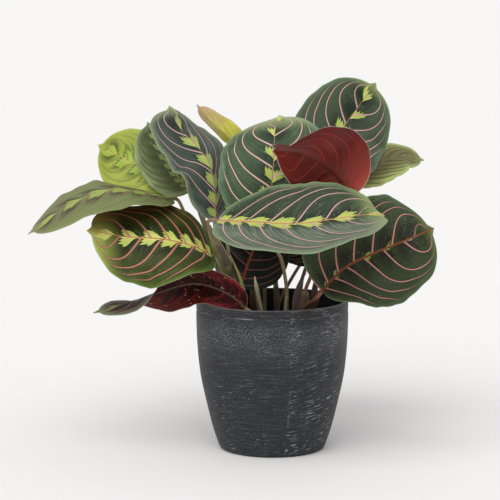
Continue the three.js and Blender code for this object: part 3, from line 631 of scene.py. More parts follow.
def leaf_face(name, seed, dark, field, margin, lime="#b4cc5c", vein="#d39a96", midrib="#b98a6a",
              tip="#6f9450", rim="#9db48c", stripe="#16231c", vein_side="#33201f",
              bloom_colour="#6f8a86", lime_width=7.0, lime_root=0.22, lime_share=1.0,
              lime_start=0.1, vein_width=0.4, rib_width=0.6, fade=(5.0, 24.0), streaking=10.0,
              tip_from=0.86, wedge=0.0, stripes=0.25, paler=0.16, dots=0.3, bloom=0.0, bloom_side=0.0):
    """Upper face: a thin satin skin, darkest by the midrib and greener outward. In mm: lime_width,
    vein_width and rib_width from each one's middle to its edge, and fade, where dark turns to field.
    wedge, stripes, paler and dots say how strong each is, and so does the strength of the painted sheen, a
    blue-grey reflection of the light painted on the skin."""
    material, add = new_material(name)
    marks = leaf_marks(add, seed, lime_width, lime_root, lime_share, lime_start, 0.16)

    # Dark green by the midrib gives way to the lighter field, unevenly, streak by streak.
    shift = add("Math", [marks["streaks"], 0.5], operation="SUBTRACT")
    shade = add("Math", [shift, streaking * 2.2, marks["from_midrib"]], operation="MULTIPLY_ADD")
    shade = add("MapRange", [shade, fade[1], fade[0]], **SOFT_EDGE)
    after = add("MapRange", [marks["part"], 0.15, 0.5, 1.0 - wedge], **SOFT_EDGE)
    shade = add("Math", [shade, after], operation="MULTIPLY")
    mottle = add("TexNoise", {"Vector": marks["place"], "Scale": 90.0, "Detail": 5.0, "Roughness": 0.6})
    band = add("Math", [mottle, 6.0, marks["from_margin"]], operation="MULTIPLY_ADD")
    band = add("MapRange", [band, 9.0, 2.5], **SOFT_EDGE)
    end = add("MapRange", [marks["along"], tip_from, 1.0], **SOFT_EDGE)
    lined = add("MapRange", [marks["streaks"], 0.52, 0.68], **SOFT_EDGE)
    open_skin = add("MapRange", [marks["streaks"], 0.47, 0.3], **SOFT_EDGE)
    # Grain of the skin: pale and dark flecks of 0.5 to 1 mm.
    grain = add("TexNoise", {"Vector": marks["place"], "Scale": 1500.0, "Detail": 3.0, "Roughness": 0.7})
    pale_grain = add("MapRange", [grain, 0.55, 0.75])
    dark_grain = add("MapRange", [grain, 0.45, 0.25])
    # Painted sheen: a greyish reflection of the light painted on the satin skin, cloudy, on one half more
    # than the other, clear of the midrib.
    bloomed = add("Math", [marks["side"], bloom_side], operation="SUBTRACT")
    bloomed = add("Math", [bloomed], operation="ABSOLUTE")
    bloomed = add("MapRange", [bloomed, 0.0, 1.0, bloom, bloom * 0.1])
    rise = add("MapRange", [marks["from_midrib"], 1.0, 9.0])
    bloomed = add("Math", [bloomed, rise], operation="MULTIPLY")
    cloudy = add("MapRange", [marks["streaks"], 0.62, 0.36])
    cloudy = add("Math", [cloudy, mottle], operation="ADD")
    # Lime herringbone, yellower by the midrib.
    outward = add("MapRange", [marks["from_midrib"], 0.5, 5.0])
    lime_end = [c * k for c, k in zip(srgb(lime), (0.72, 0.88, 0.62, 1.0))]
    lime_colour = coated(add, lime, (outward, 1.0, lime_end), (lined, 0.35 * stripes, field))
    colour = coated(
        add, field, (shade, 1.0, dark), (band, 0.75, margin), (end, 0.85, tip), (lined, stripes, stripe),
        (open_skin, paler, margin), (pale_grain, 0.22, rim), (dark_grain, 0.4, dark),
        (bloomed, cloudy, bloom_colour), (marks["lime"], 0.92, lime_colour),
    )

    # Lateral veins: 0.5 to 1.6 mm wide at the midrib, brown beside them, thinning outward and gone
    # before the margin and the tip. The midrib lies over them.
    thin = add("MapRange", [marks["reach"], 0.0, 1.0, vein_width, vein_width * 0.45])
    edge_in = add("Math", [thin, 0.14], operation="SUBTRACT")
    edge_out = add("Math", [thin, 0.22], operation="ADD")
    veins = add("MapRange", [marks["off_vein"], edge_out, edge_in], **SOFT_EDGE)
    fading = add("MapRange", [marks["reach"], 0.97, 0.8], **SOFT_EDGE)
    early = add("MapRange", [marks["rank"], 0.92, 0.78])
    fading = add("Math", [fading, early], operation="MULTIPLY")
    beside = add("MapRange", [marks["off_vein"], 1.3, 0.4, 0.0, 0.45])
    veins = add("Math", [veins, fading], operation="MULTIPLY")
    rib_edge = add("MapRange", [marks["along"], 0.0, 1.0, rib_width, rib_width * 0.4])
    rib_core = add("Math", [rib_edge, 0.6], operation="MULTIPLY")
    rib = add("MapRange", [marks["from_midrib"], rib_edge, rib_core], **SOFT_EDGE)
    # Pale translucent rim, 0.4 mm wide, and pinprick spots of dried spray.
    pale_rim = add("MapRange", [marks["from_margin"], 0.75, 0.15])
    spots = add("TexVoronoi", {"Vector": marks["place"], "Scale": 420.0}, "Distance")
    spots = add("MapRange", [spots, 0.2, 0.1, 0.0, dots])
    sprayed = add("MapRange", [mottle, 0.5, 0.62], **SOFT_EDGE)
    colour = coated(
        add, colour, (beside, fading, vein_side), (veins, 0.92, vein), (rib, 1.0, midrib),
        (pale_rim, 0.5, rim), (spots, sprayed, "#c4d2c2"),
    )
    # Fine streaky grain, with the veins sunk in it.
    relief = add("Math", [marks["streaks"], 0.4, marks["ragged"]], operation="MULTIPLY_ADD")
    relief = add("Math", [veins, -0.736, relief], operation="MULTIPLY_ADD")
    surface = {"Base Color": colour, "Roughness": 0.47, "IOR": 1.42, "Specular IOR Level": 0.22}
    return finish_material(material, add, surface, (relief, 0.3, 0.25))


def leaf_back(name, seed, deep="#571714", light="#8c2b28", vein="#a8504a", midrib="#8f8a5a",
              ghost="#4a2c20", rim="#8d8f6a", base="#8c2b28", tip="#8c2b28", lime_width=7.0,
              lime_root=0.22, lime_share=1.0, lime_start=0.1, haze=0.35, dirt=0.0, base_share=0.0,
              base_to=0.5, tip_share=0.0):
    """Lower face: burgundy, paler over the veins, with the markings showing through as a shadow."""
    material, add = new_material(name)
    marks = leaf_marks(add, seed, lime_width, lime_root, lime_share, lime_start, 1.1)
    cloud = add("TexNoise", {"Vector": marks["place"], "Scale": 60.0, "Detail": 5.0, "Roughness": 0.55})
    tone = add("Math", [marks["streaks"], cloud], operation="ADD")
    tone = add("MapRange", [tone, 0.75, 1.3], **SOFT_EDGE)
    # Brighter near the petiole, where light comes through, and flushed at the point.
    by_base = add("MapRange", [marks["along"], base_to, base_to * 0.1])
    by_tip = add("MapRange", [marks["along"], 0.6, 0.92])
    veins = add("MapRange", [marks["off_vein"], 0.75, 0.25], **SOFT_EDGE)
    fading = add("MapRange", [marks["reach"], 1.0, 0.75], **SOFT_EDGE)
    veins = add("Math", [veins, fading], operation="MULTIPLY")
    rib_edge = add("MapRange", [marks["along"], 0.0, 1.0, 1.9, 0.5])
    rib_core = add("Math", [rib_edge, 0.5], operation="MULTIPLY")
    rib = add("MapRange", [marks["from_midrib"], rib_edge, rib_core], **SOFT_EDGE)
    pale_rim = add("MapRange", [marks["from_margin"], 0.8, 0.15])
    # Dried splashes of potting mix, 0.5 to 1.5 mm.
    splash = add("TexNoise", {"Vector": marks["place"], "Scale": 480.0, "Detail": 2.0})
    splash = add("MapRange", [splash, 0.66, 0.72], **SOFT_EDGE)
    colour = coated(
        add, deep, (tone, 1.0, light), (by_base, base_share, base), (by_tip, tip_share, tip),
        (marks["lime"], haze, ghost), (veins, 0.6, vein), (rib, 0.85, midrib), (pale_rim, 0.6, rim),
        (splash, dirt, "#c0a878"),
    )
    relief = add("Math", [veins, 1.5, marks["ragged"]], operation="MULTIPLY_ADD")
    surface = {"Base Color": colour, "Roughness": 0.5, "IOR": 1.42, "Specular IOR Level": 0.22}
    return finish_material(material, add, surface, (relief, 0.35, 0.25))


def satin_leaf(name, seed, back=None, **look):
    """Both faces of one leaf: satin green above, burgundy below."""
    face = leaf_face("satin_leaf_face_" + name, seed, **look)
    shared = {key: value for key, value in look.items() if key.startswith("lime_")}
    under = leaf_back("burgundy_leaf_back_" + name, seed, **{**shared, **(back or {})})
    return [face, under]


# Front leaf: the largest, held level across the middle. Dark green with a blue-grey sheen painted on
# its near half as a reflection of the light, a full herringbone of lime blocks, and a lighter, yellower
# tip.
grow_leaf(
    "leaf_front_blade",
    satin_leaf(
        "front", 1, dark="#141e17", field="#2a3824", margin="#7f9568", tip="#9db06c", lime="#c4c56c",
        midrib="#b5805c", bloom=0.42, bloom_colour="#87927f", dots=0.6, lime_width=5.6, lime_root=0.3,
        tip_from=0.78, vein="#cfa59d", rib_width=1.0, vein_width=0.54, stripes=0.45, wedge=0.6,
        fade=(3.0, 15.0), paler=0.3,
    ),
    spine=[
        [-42, -62, 189], [-14, -80, 190], [18, -91, 190],
        [54, -92, 195], [75, -87, 197], [83, -79, 195],
    ],
    up=[[0, -0.66, 0.75], [0, -0.68, 0.73], [0.1, -0.6, 0.8]],
    width=74, fold=[3], fold_right=[10], curl=[6], wave=(1.2, 3, 0), seed=11, veins=7, lean=0.42,
)

# Low right leaf: broad and dark, turned to the side so that its thick red-brown midrib runs up
# to the right. Its lime marks are no more than small teeth.
grow_leaf(
    "leaf_right_low_blade",
    satin_leaf(
        "right_low", 2, dark="#1d1d13", field="#333f27", margin="#50613f", tip="#66743c",
        lime="#8f9850", vein="#c58880", midrib="#76442a", lime_width=4.0, lime_root=0.0, lime_start=0.5,
        lime_share=0.7, rib_width=1.7, vein_width=0.58, stripes=0.4, wedge=0.5, fade=(6.0, 22.0),
        paler=0.3,
    ),
    spine=[[38, -34, 130], [55, -35, 148], [77, -37, 160], [105, -46, 173], [124, -37, 180]],
    up=[[0, -0.95, 0.3], [0.1, -0.95, 0.35], [0.3, -0.8, 0.5]],
    width=88, fold_right=[50, 25, 0, 0], curl=[-6], curl_right=[0, -20, -10],
    wave=(1.5, 3, 0), seed=12, veins=7, lean=0.45,
)

# Top right leaf: upright, its face to the front, with one large lime block and a lime tip.
grow_leaf(
    "leaf_top_right_blade",
    satin_leaf(
        "top_right", 3, dark="#1b251a", field="#3f4e36", margin="#62765a", tip="#86a058",
        lime="#ccd274", bloom=0.08, bloom_colour="#8a9686", vein="#d8aca4", midrib="#9c755c",
        lime_width=8.5, lime_root=0.0, lime_start=0.25, lime_share=0.8, tip_from=0.86, vein_width=0.54,
        wedge=0.5, fade=(5.0, 19.0), paler=0.25,
    ),
    spine=[[38, 7, 209], [46, 22, 231], [56, 30, 251], [68, 31, 268], [82, 27, 288]],
    up=[[0, -0.9, 0.4]],
    width=76, fold=[3], wave=(1.2, 3, 0), seed=13, lean=0.55,
)

# Red leaf: folded over so that its burgundy underside faces the front, veins paler than the
# skin and the herringbone of its other face showing through as a brown shadow.
grow_leaf(
    "leaf_red_underside_blade",
    satin_leaf(
        "red", 4, dark="#1d2f27", field="#2f4f3a", margin="#52785a",
        back={"deep": "#430602", "light": "#5c1004", "vein": "#7c2a20", "midrib": "#541a0e",
              "haze": 0.45, "ghost": "#46260f", "rim": "#b9b8a4", "base": "#a4453a", "base_share": 0.8,
              "base_to": 0.36},
    ),
    spine=[[59, -28, 203], [50, -36, 220], [37, -44, 231], [19, -51, 239], [-1, -59, 241]],
    up=[[-0.13, -0.07, 0.4], [-0.11, 0.19, 0.03], [-0.24, 0.71, -0.41]],
    width=75, fold=[0], fold_left=[26, 29, 61, 44], curl=[10], seed=14, lean=0.5,
)

# Centre leaf: upright behind the front leaf, clean dark green, lime blocks far apart.
grow_leaf(
    "leaf_centre_blade",
    satin_leaf(
        "centre", 5, dark="#16251a", field="#3b4f34", margin="#748e6e", tip="#aab67c", lime="#cdd074",
        bloom=0.08, bloom_colour="#94a28c", bloom_side=0.5, stripes=0.4, vein="#deb4ab",
        midrib="#9f7c5a", lime_width=8.5, lime_root=0.0, lime_start=0.3, lime_share=0.85, tip_from=0.74,
        vein_width=0.62, wedge=0.5, fade=(5.0, 19.0), paler=0.3,
    ),
    spine=[[-3, -17, 176], [-1, -18, 207], [1, -14, 233], [2, -2, 252], [6, 17, 263]],
    up=[[0.17, -0.93, 0.19], [-0.09, -0.88, 0.27], [-0.34, -0.52, 0.72]],
    width=85, curl=[-12], wave=(1.5, 3, 0), seed=15, veins=7, lean=0.5,
)

# Left upright leaf: blue-green and very dark, pale pink veins, three separate lime blocks.
grow_leaf(
    "leaf_left_upright_blade",
    satin_leaf(
        "left_upright", 6, dark="#222826", field="#414c43", margin="#8a967e", tip="#8d9a6c",
        lime="#c0c478", vein="#cfa8a2", midrib="#8c6a50", lime_width=9.5, lime_root=0.0,
        lime_start=0.15, lime_share=0.9, bloom=0.15, bloom_colour="#7c8a86", vein_width=0.54, wedge=0.4,
        fade=(4.0, 17.0), paler=0.35,
    ),
    spine=[[-44, -12, 184], [-45, -12, 210], [-52, -8, 232], [-73, -1, 255], [-81, 9, 271]],
    up=[[0.74, -0.67, 0.25], [0.45, -0.42, -0.04], [0.04, -0.33, 0.76]],
    width=71, fold=[0], fold_right=[-25], curl=[4], wave=(1.5, 3, 0), seed=16, veins=6.5, lean=0.75,
)

# Left middle leaf: the clearest markings, with red veins and a full, bright herringbone.
grow_leaf(
    "leaf_left_middle_blade",
    satin_leaf(
        "left_middle", 7, dark="#181c0b", field="#363e12", margin="#637e2b", tip="#c0cc66",
        lime="#dfdc80", vein="#c07a68", midrib="#b87a4e", lime_width=8.0, lime_root=0.25,
        fade=(6.0, 22.0), stripes=0.35, tip_from=0.7, rib_width=0.9, vein_width=0.78, wedge=0.5,
        paler=0.65,
    ),
    spine=[[-48, -21, 157], [-64, -32, 166], [-86, -40, 172], [-113, -42, 174], [-142, -52, 180]],
    up=[[0.1, -0.8, 0.6]],
    width=81, fold=[0], fold_left=[45, 34, 2, 0, 0], curl=[-15, -30, -40, -40],
    curl_left=[-10, -18, -25, -12, -5], wave=(1.5, 3, 0), seed=17, veins=7.5, lean=0.5,
)

# Far left leaf: seen nearly along its face, drying at the tip, green with purple-brown fields
# beside a pale green centre.
grow_leaf(
    "leaf_far_left_blade",
    satin_leaf(
        "far_left", 8, dark="#4a4233", field="#75834c", margin="#808d57", tip="#7c845c", lime="#a6b35c",
        vein="#a0726a", midrib="#9a8a54", lime_width=7.0, fade=(7.0, 17.0), streaking=14.0, wedge=0.7,
        stripes=0.7, stripe="#4c4a38", rim="#a9a882", vein_side="#5a5038",
    ),
    spine=[[-81, 5, 199], [-103, -13, 205], [-127, -28, 208], [-156, -38, 198], [-188, -42, 176]],
    up=[[0, -0.22, 0.97]],
    width=66, fold=[0], seed=18, lean=0.6,
)

# Lime leaf: a younger leaf, yellow-green all over, its bright colours partly painted light that shines
# through it, with dark wedges by its herringbone.
grow_leaf(
    "leaf_lime_blade",
    satin_leaf(
        "lime", 9, dark="#54622a", field="#a6b24a", margin="#acb64e", tip="#a8b24c", lime="#bcc65a",
        vein="#8c8a44", midrib="#a8a050", lime_width=9.0, vein_width=0.25, fade=(6.0, 15.0),
        streaking=12.0, wedge=1.0, stripes=0.45, stripe="#6a7a34", rim="#c3c884", vein_side="#75843a",
        back={"deep": "#6d6a34", "light": "#8f9444", "vein": "#a3a05c", "ghost": "#4c5a24"},
    ),
    spine=[[-70, 14, 204], [-91, 25, 215], [-116, 35, 226], [-139, 35, 238]],
    up=[[-0.2, -0.8, 0.5]],
    width=62, wave=(1.5, 3, 0), seed=19, lean=0.5,
)

# Dull green leaf: small, behind the lime leaf, with fine dark lines across it.
grow_leaf(
    "leaf_dull_green_blade",
    satin_leaf(
        "dull_green", 10, dark="#46522e", field="#94a56c", margin="#9cac7c", tip="#6c7a52",
        lime="#8c985a", vein="#5f5440", midrib="#8b8a56", lime_width=4.0, vein_width=0.3, stripes=0.85,
        stripe="#3a4428", rim="#8ea47c", vein_side="#46502e",
    ),
    spine=[[-65, 10, 203], [-85, 19, 228], [-99, 25, 257]],
    up=[[-0.2, -0.8, 0.5]],
    width=44, seed=20, lean=0.6, veins=9,
)

# Young yellow leaf: still half rolled, soft yellow, its point and margins flushed pink.
grow_leaf(
    "leaf_young_yellow_blade",
    satin_leaf(
        "young", 11, dark="#8f9a3a", field="#d0cd50", margin="#d0c870", tip="#c88c70", lime="#c9cc58",
        vein="#a9a04a", midrib="#b7a860", lime_width=2.5, vein_width=0.3, tip_from=0.62, stripes=0.3,
        stripe="#96983c", rim="#d3a08a", dots=0.0, vein_side="#a8a03c",
        back={"deep": "#bab840", "light": "#d4d260", "vein": "#a9a748", "midrib": "#b2a85c",
              "ghost": "#969a3c", "rim": "#d0988a", "tip": "#d0a890", "tip_share": 0.9},
    ),
    spine=[[-14, 30, 206], [-28, 35, 237], [-47, 37, 255], [-60, 37, 270]],
    up=[[0.3, 0.9, 0.3]],
    width=23, fold=[20], curl=[30], seed=21,
)

# Right back leaf: yellowing olive, brown lines along its veins.
grow_leaf(
    "leaf_right_back_blade",
    satin_leaf(
        "right_back", 12, dark="#727648", field="#bccc72", margin="#bccc7c", tip="#88925a",
        lime="#98a25a", vein="#66483c", midrib="#8d7a4c", lime_width=4.5, vein_width=0.45, stripes=0.8,
        stripe="#544a34", rim="#a9b07c", lime_share=0.0, vein_side="#54442f",
    ),
    spine=[[58, 30, 207], [81, 46, 218], [102, 60, 227], [124, 66, 223]],
    up=[[0, -0.5, 0.85]],
    width=44, seed=22, lean=0.85, veins=9,
)

# Leaf over the rim: hangs out to the left, twisting, so that its wine-red underside shows near
# the pot and its dark upper face farther out. Its base is specked with potting mix.
grow_leaf(
    "leaf_over_rim_blade",
    satin_leaf(
        "over_rim", 13, dark="#332c2a", field="#5a6248", margin="#7d8a70", tip="#78805f",
        lime="#8c9858", vein="#b88078", midrib="#84644c", lime_width=4.0, lime_root=0.0, lime_start=0.3,
        back={"lime_width": 13.0, "lime_root": 0.75, "base_to": 0.3, "haze": 0.85, "deep": "#3c0703",
              "light": "#5a120a", "vein": "#5e1f1a", "midrib": "#75604a", "dirt": 0.8,
              "ghost": "#190a07", "base": "#a02c40", "base_share": 0.85},
    ),
    spine=[
        [-21, -28, 116], [-38, -27, 129], [-60, -23, 135],
        [-85, -26, 130], [-112, -31, 121], [-139, -34, 113.5],
    ],
    up=[
        [0, 1, 0], [0, 1, 0], [0, 1, 0], [0, 1, 0.1], [0, 0.87, 0.5],
        [0, 0.15, 1], [0, -0.35, 0.94], [0, -0.45, 0.9], [0, -0.5, 0.87],
    ],
    width=37, fold=[0], fold_left=[0, -20, -35, -30, -10, 0, 0, 0, 0],
    fold_right=[-40, -40, -38, -35, -35, -46, -32, -8, 0], curl=[0], wave=(0.6, 3, 0), seed=23,
)

# Two low leaves in the shade of the others, their colours painted nearly black green as painted shade,
# with dull red veins.
painted_shade_leaf = satin_leaf(
    "painted_shade_leaf", 14, dark="#0e130c", field="#161e12", margin="#222c1c", tip="#28341f", lime="#4f5e30",
    vein="#80504a", midrib="#7a3a22", lime_width=3.0, vein_width=0.38, rim="#3c4a38", lime_share=0.0,
    rib_width=1.5,
)
grow_leaf(
    "leaf_low_centre_blade", painted_shade_leaf,
    spine=[[-26, 10, 126], [-19, 22, 145], [-10, 30, 166], [-2, 28, 186]],
    up=[[0, -0.9, 0.3]],
    width=60, seed=24,
)
grow_leaf(
    "leaf_low_back_blade", painted_shade_leaf,
    spine=[[40, 32, 146], [30, 34, 156], [18, 36, 163], [3, 36, 166]],
    up=[[0, -0.9, 0.4]],
    width=40, seed=25,
)

# Four leaves round the back, turned away to the light, marked like the centre leaf.
far_side = satin_leaf(
    "far_side", 15, dark="#1f2a1e", field="#35452f", margin="#5a6c50", tip="#738a54", lime="#b2b860",
    vein="#c4928a", midrib="#9f7c5a", lime_width=5.5,
)
for name, width, seed, spine, up in (
    ("left", 56, 26, [[-24, 46, 168], [-38, 66, 190], [-56, 86, 203], [-78, 102, 207]],
     [[0.2, -0.4, 0.9], [0, 0, 1], [-0.2, 0.3, 0.9]]),
    ("right", 58, 27, [[30, 54, 150], [46, 74, 170], [64, 94, 180], [86, 110, 174]],
     [[-0.2, -0.4, 0.9], [0, 0, 1], [0.2, 0.4, 0.9]]),
    ("centre", 62, 28, [[4, 58, 164], [14, 80, 192], [26, 102, 207], [40, 124, 210]],
     [[0, -0.6, 0.8], [0, -0.1, 1], [0, 0.2, 1]]),
    ("low", 58, 29, [[-18, 50, 130], [-38, 78, 146], [-58, 102, 150], [-80, 120, 142]],
     [[0.1, -0.3, 1], [0, 0.1, 1], [-0.2, 0.5, 0.9]]),
):
    grow_leaf(
        "leaf_back_" + name + "_blade", far_side, spine, up, width,
        fold=[6], curl=[-10], wave=(1, 2, 0), seed=seed,
    )


# Stems: each shoot stands in the soil and carries its leaves on round petioles, sheathed below
# by a leaf base that wraps round the next one. A petiole ends in a short swollen joint that
# tilts the blade.
STEM_FOOT = 84.0
STEM_SIDES = 18
STEM_STEPS = 56
SHEATH_ROWS = 44
SHEATH_COLUMNS = 40
PETIOLE_RADIUS = 1.45
JOINT_RADIUS = 1.7
JOINT_LENGTH = 9.0
FAR_FROM_EDGE = 9.0


def round_stem(points, radii):
    """Points, faces and marks of a closed round stem along a curve, with its share of length."""
    share = np.linspace(0, 1, STEM_STEPS + 1)
    centre, along = along_curve(points, share)
    normal = np.cross(along[0], [0.3, 1, 0.1])
    turn = 2 * np.pi * np.arange(STEM_SIDES) / STEM_SIDES
    rings = []
    for i, way in enumerate(along):
        normal = normal - way * normal.dot(way)
        normal /= np.linalg.norm(normal)
        other = np.cross(way, normal)
        radius = radii(share[i], centre[i])
        rings.append(centre[i] + radius * (np.cos(turn)[:, None] * normal + np.sin(turn)[:, None] * other))
    points = np.concatenate(rings)
    last = STEM_STEPS * STEM_SIDES
    faces = []
    for a in range(0, last, STEM_SIDES):
        for k in range(STEM_SIDES):
            n = (k + 1) % STEM_SIDES
            faces.append([a + k, a + n, a + STEM_SIDES + n, a + STEM_SIDES + k])
    faces += [list(range(STEM_SIDES))[::-1], [last + k for k in range(STEM_SIDES)]]
    from_edge = np.full(len(points), FAR_FROM_EDGE)
    marks = [np.repeat(share, STEM_SIDES), np.tile(turn, STEM_STEPS + 1), from_edge]
    return points, faces, np.stack(marks, 1)


def open_sheath(path, radii, opening, wrap):
    """Thin sheet rolled round a path: open toward `opening`, wrap degrees round at its foot."""
    share = np.linspace(0, 1, SHEATH_ROWS + 1)
    centre, along = along_curve(path, share)
    radius = value_along(radii, share)
    toward = np.asarray(opening, float) - along * (along @ np.asarray(opening, float))[:, None]
    toward /= np.linalg.norm(toward, axis=1, keepdims=True)
    beside = np.cross(along, toward)
    across = np.linspace(0, 1, SHEATH_COLUMNS + 1)
    # The sheet opens toward its top, where it runs out into the petiole it belongs to.
    turns = np.radians(wrap) * (1 - 0.35 * share**2)
    angle = np.pi + turns[:, None] * (across[None] - 0.5)
    # One rolled more than once round lies in a spiral, thin enough not to touch itself.
    tight = 1 - 0.3 * (1 - across[None]) * max(0.0, (wrap - 250) / 250)
    sturdy = 0.5 if wrap < 360 else 0.15
    thick = 0.13 + sturdy * np.sin(np.pi * across[None]) * np.minimum(1, radius[:, None] / 2)
    outer_r = radius[:, None] * tight
    inner_r = np.maximum(outer_r - thick, 0.12 * outer_r)
    ring = np.cos(angle)[..., None] * toward[:, None] + np.sin(angle)[..., None] * beside[:, None]
    outer, inner = (centre[:, None] + ring * r[..., None] for r in (outer_r, inner_r))
    faces = np.concatenate(sheet_faces(SHEATH_ROWS + 1, SHEATH_COLUMNS + 1)).tolist()
    from_edge = np.minimum(across, 1 - across)[None] * turns[:, None] * radius[:, None]
    marks = [np.repeat(share, SHEATH_COLUMNS + 1), np.tile(across, SHEATH_ROWS + 1), from_edge.ravel()]
    points = np.concatenate([outer.reshape(-1, 3), inner.reshape(-1, 3)])
    return points, faces, np.tile(np.stack(marks, 1), (2, 1))


def stem_skin(name, low, high, flush, green):
    """Petiole skin: satin, fine lengthwise lines, flushed pink or purple on one side."""
    material, add = new_material(name)
    along, around = (add("Attribute", output="Fac", attribute_name=mark) for mark in ("along", "around"))
    place = add("TexCoord", output="Object")
    # Lengthwise lines 0.5 mm wide and about 12 mm long.
    lines = add("VectorMath", [place, (1800, 1800, 80)], operation="MULTIPLY")
    lines = add("TexNoise", {"Vector": lines, "Scale": 1.0, "Detail": 3.0})
    lines = add("MapRange", [lines, 0.4, 0.65], **SOFT_EDGE)
    cloud = add("TexNoise", {"Vector": place, "Scale": 110.0, "Detail": 4.0})
    flushed = add("Math", [around], operation="COSINE")
    flushed = add("Math", [cloud, 3.0, flushed], operation="MULTIPLY_ADD")
    flushed = add("MapRange", [flushed, 1.2, 2.4], **SOFT_EDGE)
    colour = coated(add, low, (along, 1.0, high), (flushed, 0.6, flush), (lines, 0.3, green))
    surface = {"Base Color": colour, "Roughness": 0.5, "IOR": 1.42}
    return finish_material(material, add, surface, (lines, 0.3, 0.2))


def sheath_skin(name, first, second, edge="#c3c19a", tip="#a89a78", split=0.27):
    """Sheath skin: one side olive and one purple-grey, ribbed lengthwise, paper-pale free edges."""
    material, add = new_material(name)
    along, around, from_edge = (
        add("Attribute", output="Fac", attribute_name=mark) for mark in ("along", "around", "from_edge")
    )
    ribs = add("CombineXYZ", [around, along])
    ribs = add("VectorMath", [ribs, (46, 5, 1)], operation="MULTIPLY")
    ribs = add("TexNoise", {"Vector": ribs, "Scale": 1.0, "Detail": 3.0})
    ribs = add("MapRange", [ribs, 0.4, 0.65], **SOFT_EDGE)
    place = add("TexCoord", output="Object")
    cloud = add("TexNoise", {"Vector": place, "Scale": 140.0, "Detail": 4.0})
    cloud = add("Math", [cloud, 0.5], operation="SUBTRACT")
    side = add("Math", [cloud, 0.7, around], operation="MULTIPLY_ADD")
    side = add("MapRange", [side, split - 0.11, split + 0.11], **SOFT_EDGE)
    end = add("MapRange", [along, 0.8, 1.0])
    pale = add("MapRange", [from_edge, 1.0, 0.3])
    colour = coated(
        add, first, (side, 1.0, second), (ribs, 0.3, "#4a4636"), (end, 1.0, tip), (pale, 0.8, edge)
    )
    surface = {"Base Color": colour, "Roughness": 0.55, "IOR": 1.42}
    return finish_material(material, add, surface, (ribs, 0.35, 0.3))


def grow_shoot(name, skins, petioles=(), sheaths=(), nodes=()):
    """One shoot. petioles: foot, points on the way, blade; sheaths: as open_sheath takes them, and
    which skin if not the second; nodes: heights of the swollen rings."""
    parts = []
    for foot, way, blade in petioles:
        start, ahead, up = leaf_bases[blade]
        base = start - up * 0.9
        route = [[*foot, STEM_FOOT], [*foot, STEM_FOOT + 8], [*foot, SOIL_CENTRE_HEIGHT], *way]
        route += [base - ahead * JOINT_LENGTH, base - ahead * 0.5, base + ahead * 4]
        length = np.linalg.norm(np.diff(np.asarray(route, float), axis=0), axis=1).sum()

        def radius(share, centre, length=length):
            left = (1 - share) * length
            swell = (JOINT_RADIUS - PETIOLE_RADIUS) * math.exp(-(((left - 8) / 4.5) ** 2))
            ring = sum(0.45 * math.exp(-(((centre[2] - height) / 1.6) ** 2)) for height in nodes)
            narrow = 1 - 0.65 * max(0.0, 1 - left / 4)
            return (PETIOLE_RADIUS * (1.08 - 0.2 * share) + swell + ring) * narrow

        parts.append((*round_stem(route, radius), 0))
    for path, radii, opening, wrap, *skin in sheaths:
        parts.append((*open_sheath(path, radii, opening, wrap), skin[0] if skin else 1))
    points, faces, marks, kinds = [], [], [], []
    for more, sides, more_marks, kind in parts:
        faces += [[len(points) + k for k in side] for side in sides]
        kinds += [kind] * len(sides)
        points += more.tolist()
        marks.append(more_marks)
    shoot = new_piece(name, points, faces, skins, kinds)
    keep_marks(shoot, dict(zip(("along", "around", "from_edge"), np.concatenate(marks).T)))
    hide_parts(name[: name.rindex("_stems")])


# Living petioles: smooth, juicy and satin, olive to rose brown by shoot. The sheaths are thinner
# and duller than they are, and dry to paper at the edge.
olive_petiole = stem_skin("olive_petiole_skin", "#84805a", "#8d8060", "#7a5248", "#5f6238")
beige_petiole = stem_skin("beige_petiole_skin", "#8b7d5c", "#9a8c68", "#8d6a5c", "#6f6a44")
purple_petiole = stem_skin("purple_brown_petiole_skin", "#6e5648", "#7d4f42", "#5c3430", "#57553a")
rose_petiole = stem_skin("rose_brown_petiole_skin", "#86694f", "#9a6450", "#8e4f46", "#6a6340")
broad_sheath = sheath_skin("broad_olive_leaf_sheath", "#84884e", "#65584d", split=0.74)
olive_sheath = sheath_skin("olive_leaf_sheath", "#7f8558", "#6f625c")
yellow_sheath = sheath_skin("yellow_green_leaf_sheath", "#a5a65a", "#857a52", "#d0cf98", "#b5a86a")
pale_sheath = sheath_skin("pale_rolled_leaf_sheath", "#a3a078", "#7d7350", "#d5d2b0", "#d8d3b2")
brown_sheath = sheath_skin("brown_leaf_sheath", "#7c6c4c", "#6a4f42", "#a8946c", "#8a7a55")

# Front left shoot: the thickest one. A wide olive and purple-grey sheath with a pale edge wraps
# the front leaf's petiole, and a thin yellow-green one stands in front of it.
grow_shoot(
    "shoot_front_left_stems", [olive_petiole, broad_sheath, yellow_sheath],
    petioles=[
        ((-25, -6), [[-29, -8, 126], [-34, -12, 143], [-40, -27, 163], [-48, -47, 179]],
         "leaf_front_blade"),
        ((-25, -6), [[-29, -6, 119], [-33, -10, 144], [-36, -13, 166]], "leaf_left_upright_blade"),
        ((-25, -6), [[-29, -4, 119], [-33, -6, 139]], "leaf_left_middle_blade"),
    ],
    sheaths=[
        ([[-26, -6, 103], [-29, -8, 126], [-34.5, -12, 143], [-42, -27, 163], [-47, -40, 181]],
         [3.2, 4.4, 5.8, 5.6, 3.6], (1, 0.6, 0), 320),
        ([[-22, -8, 100], [-23, -11, 120], [-26, -14, 135], [-30, -17, 147], [-33, -19, 156]],
         [2.8, 3.2, 3.2, 2.4, 0.5], (-0.8, -1, 0.3), 300, 2),
    ],
    nodes=(112,),
)

# Rim shoot: a short petiole under the leaf that hangs over the rim.
grow_shoot("shoot_rim_stems", [beige_petiole], petioles=[((-10, -29), [], "leaf_over_rim_blade")])

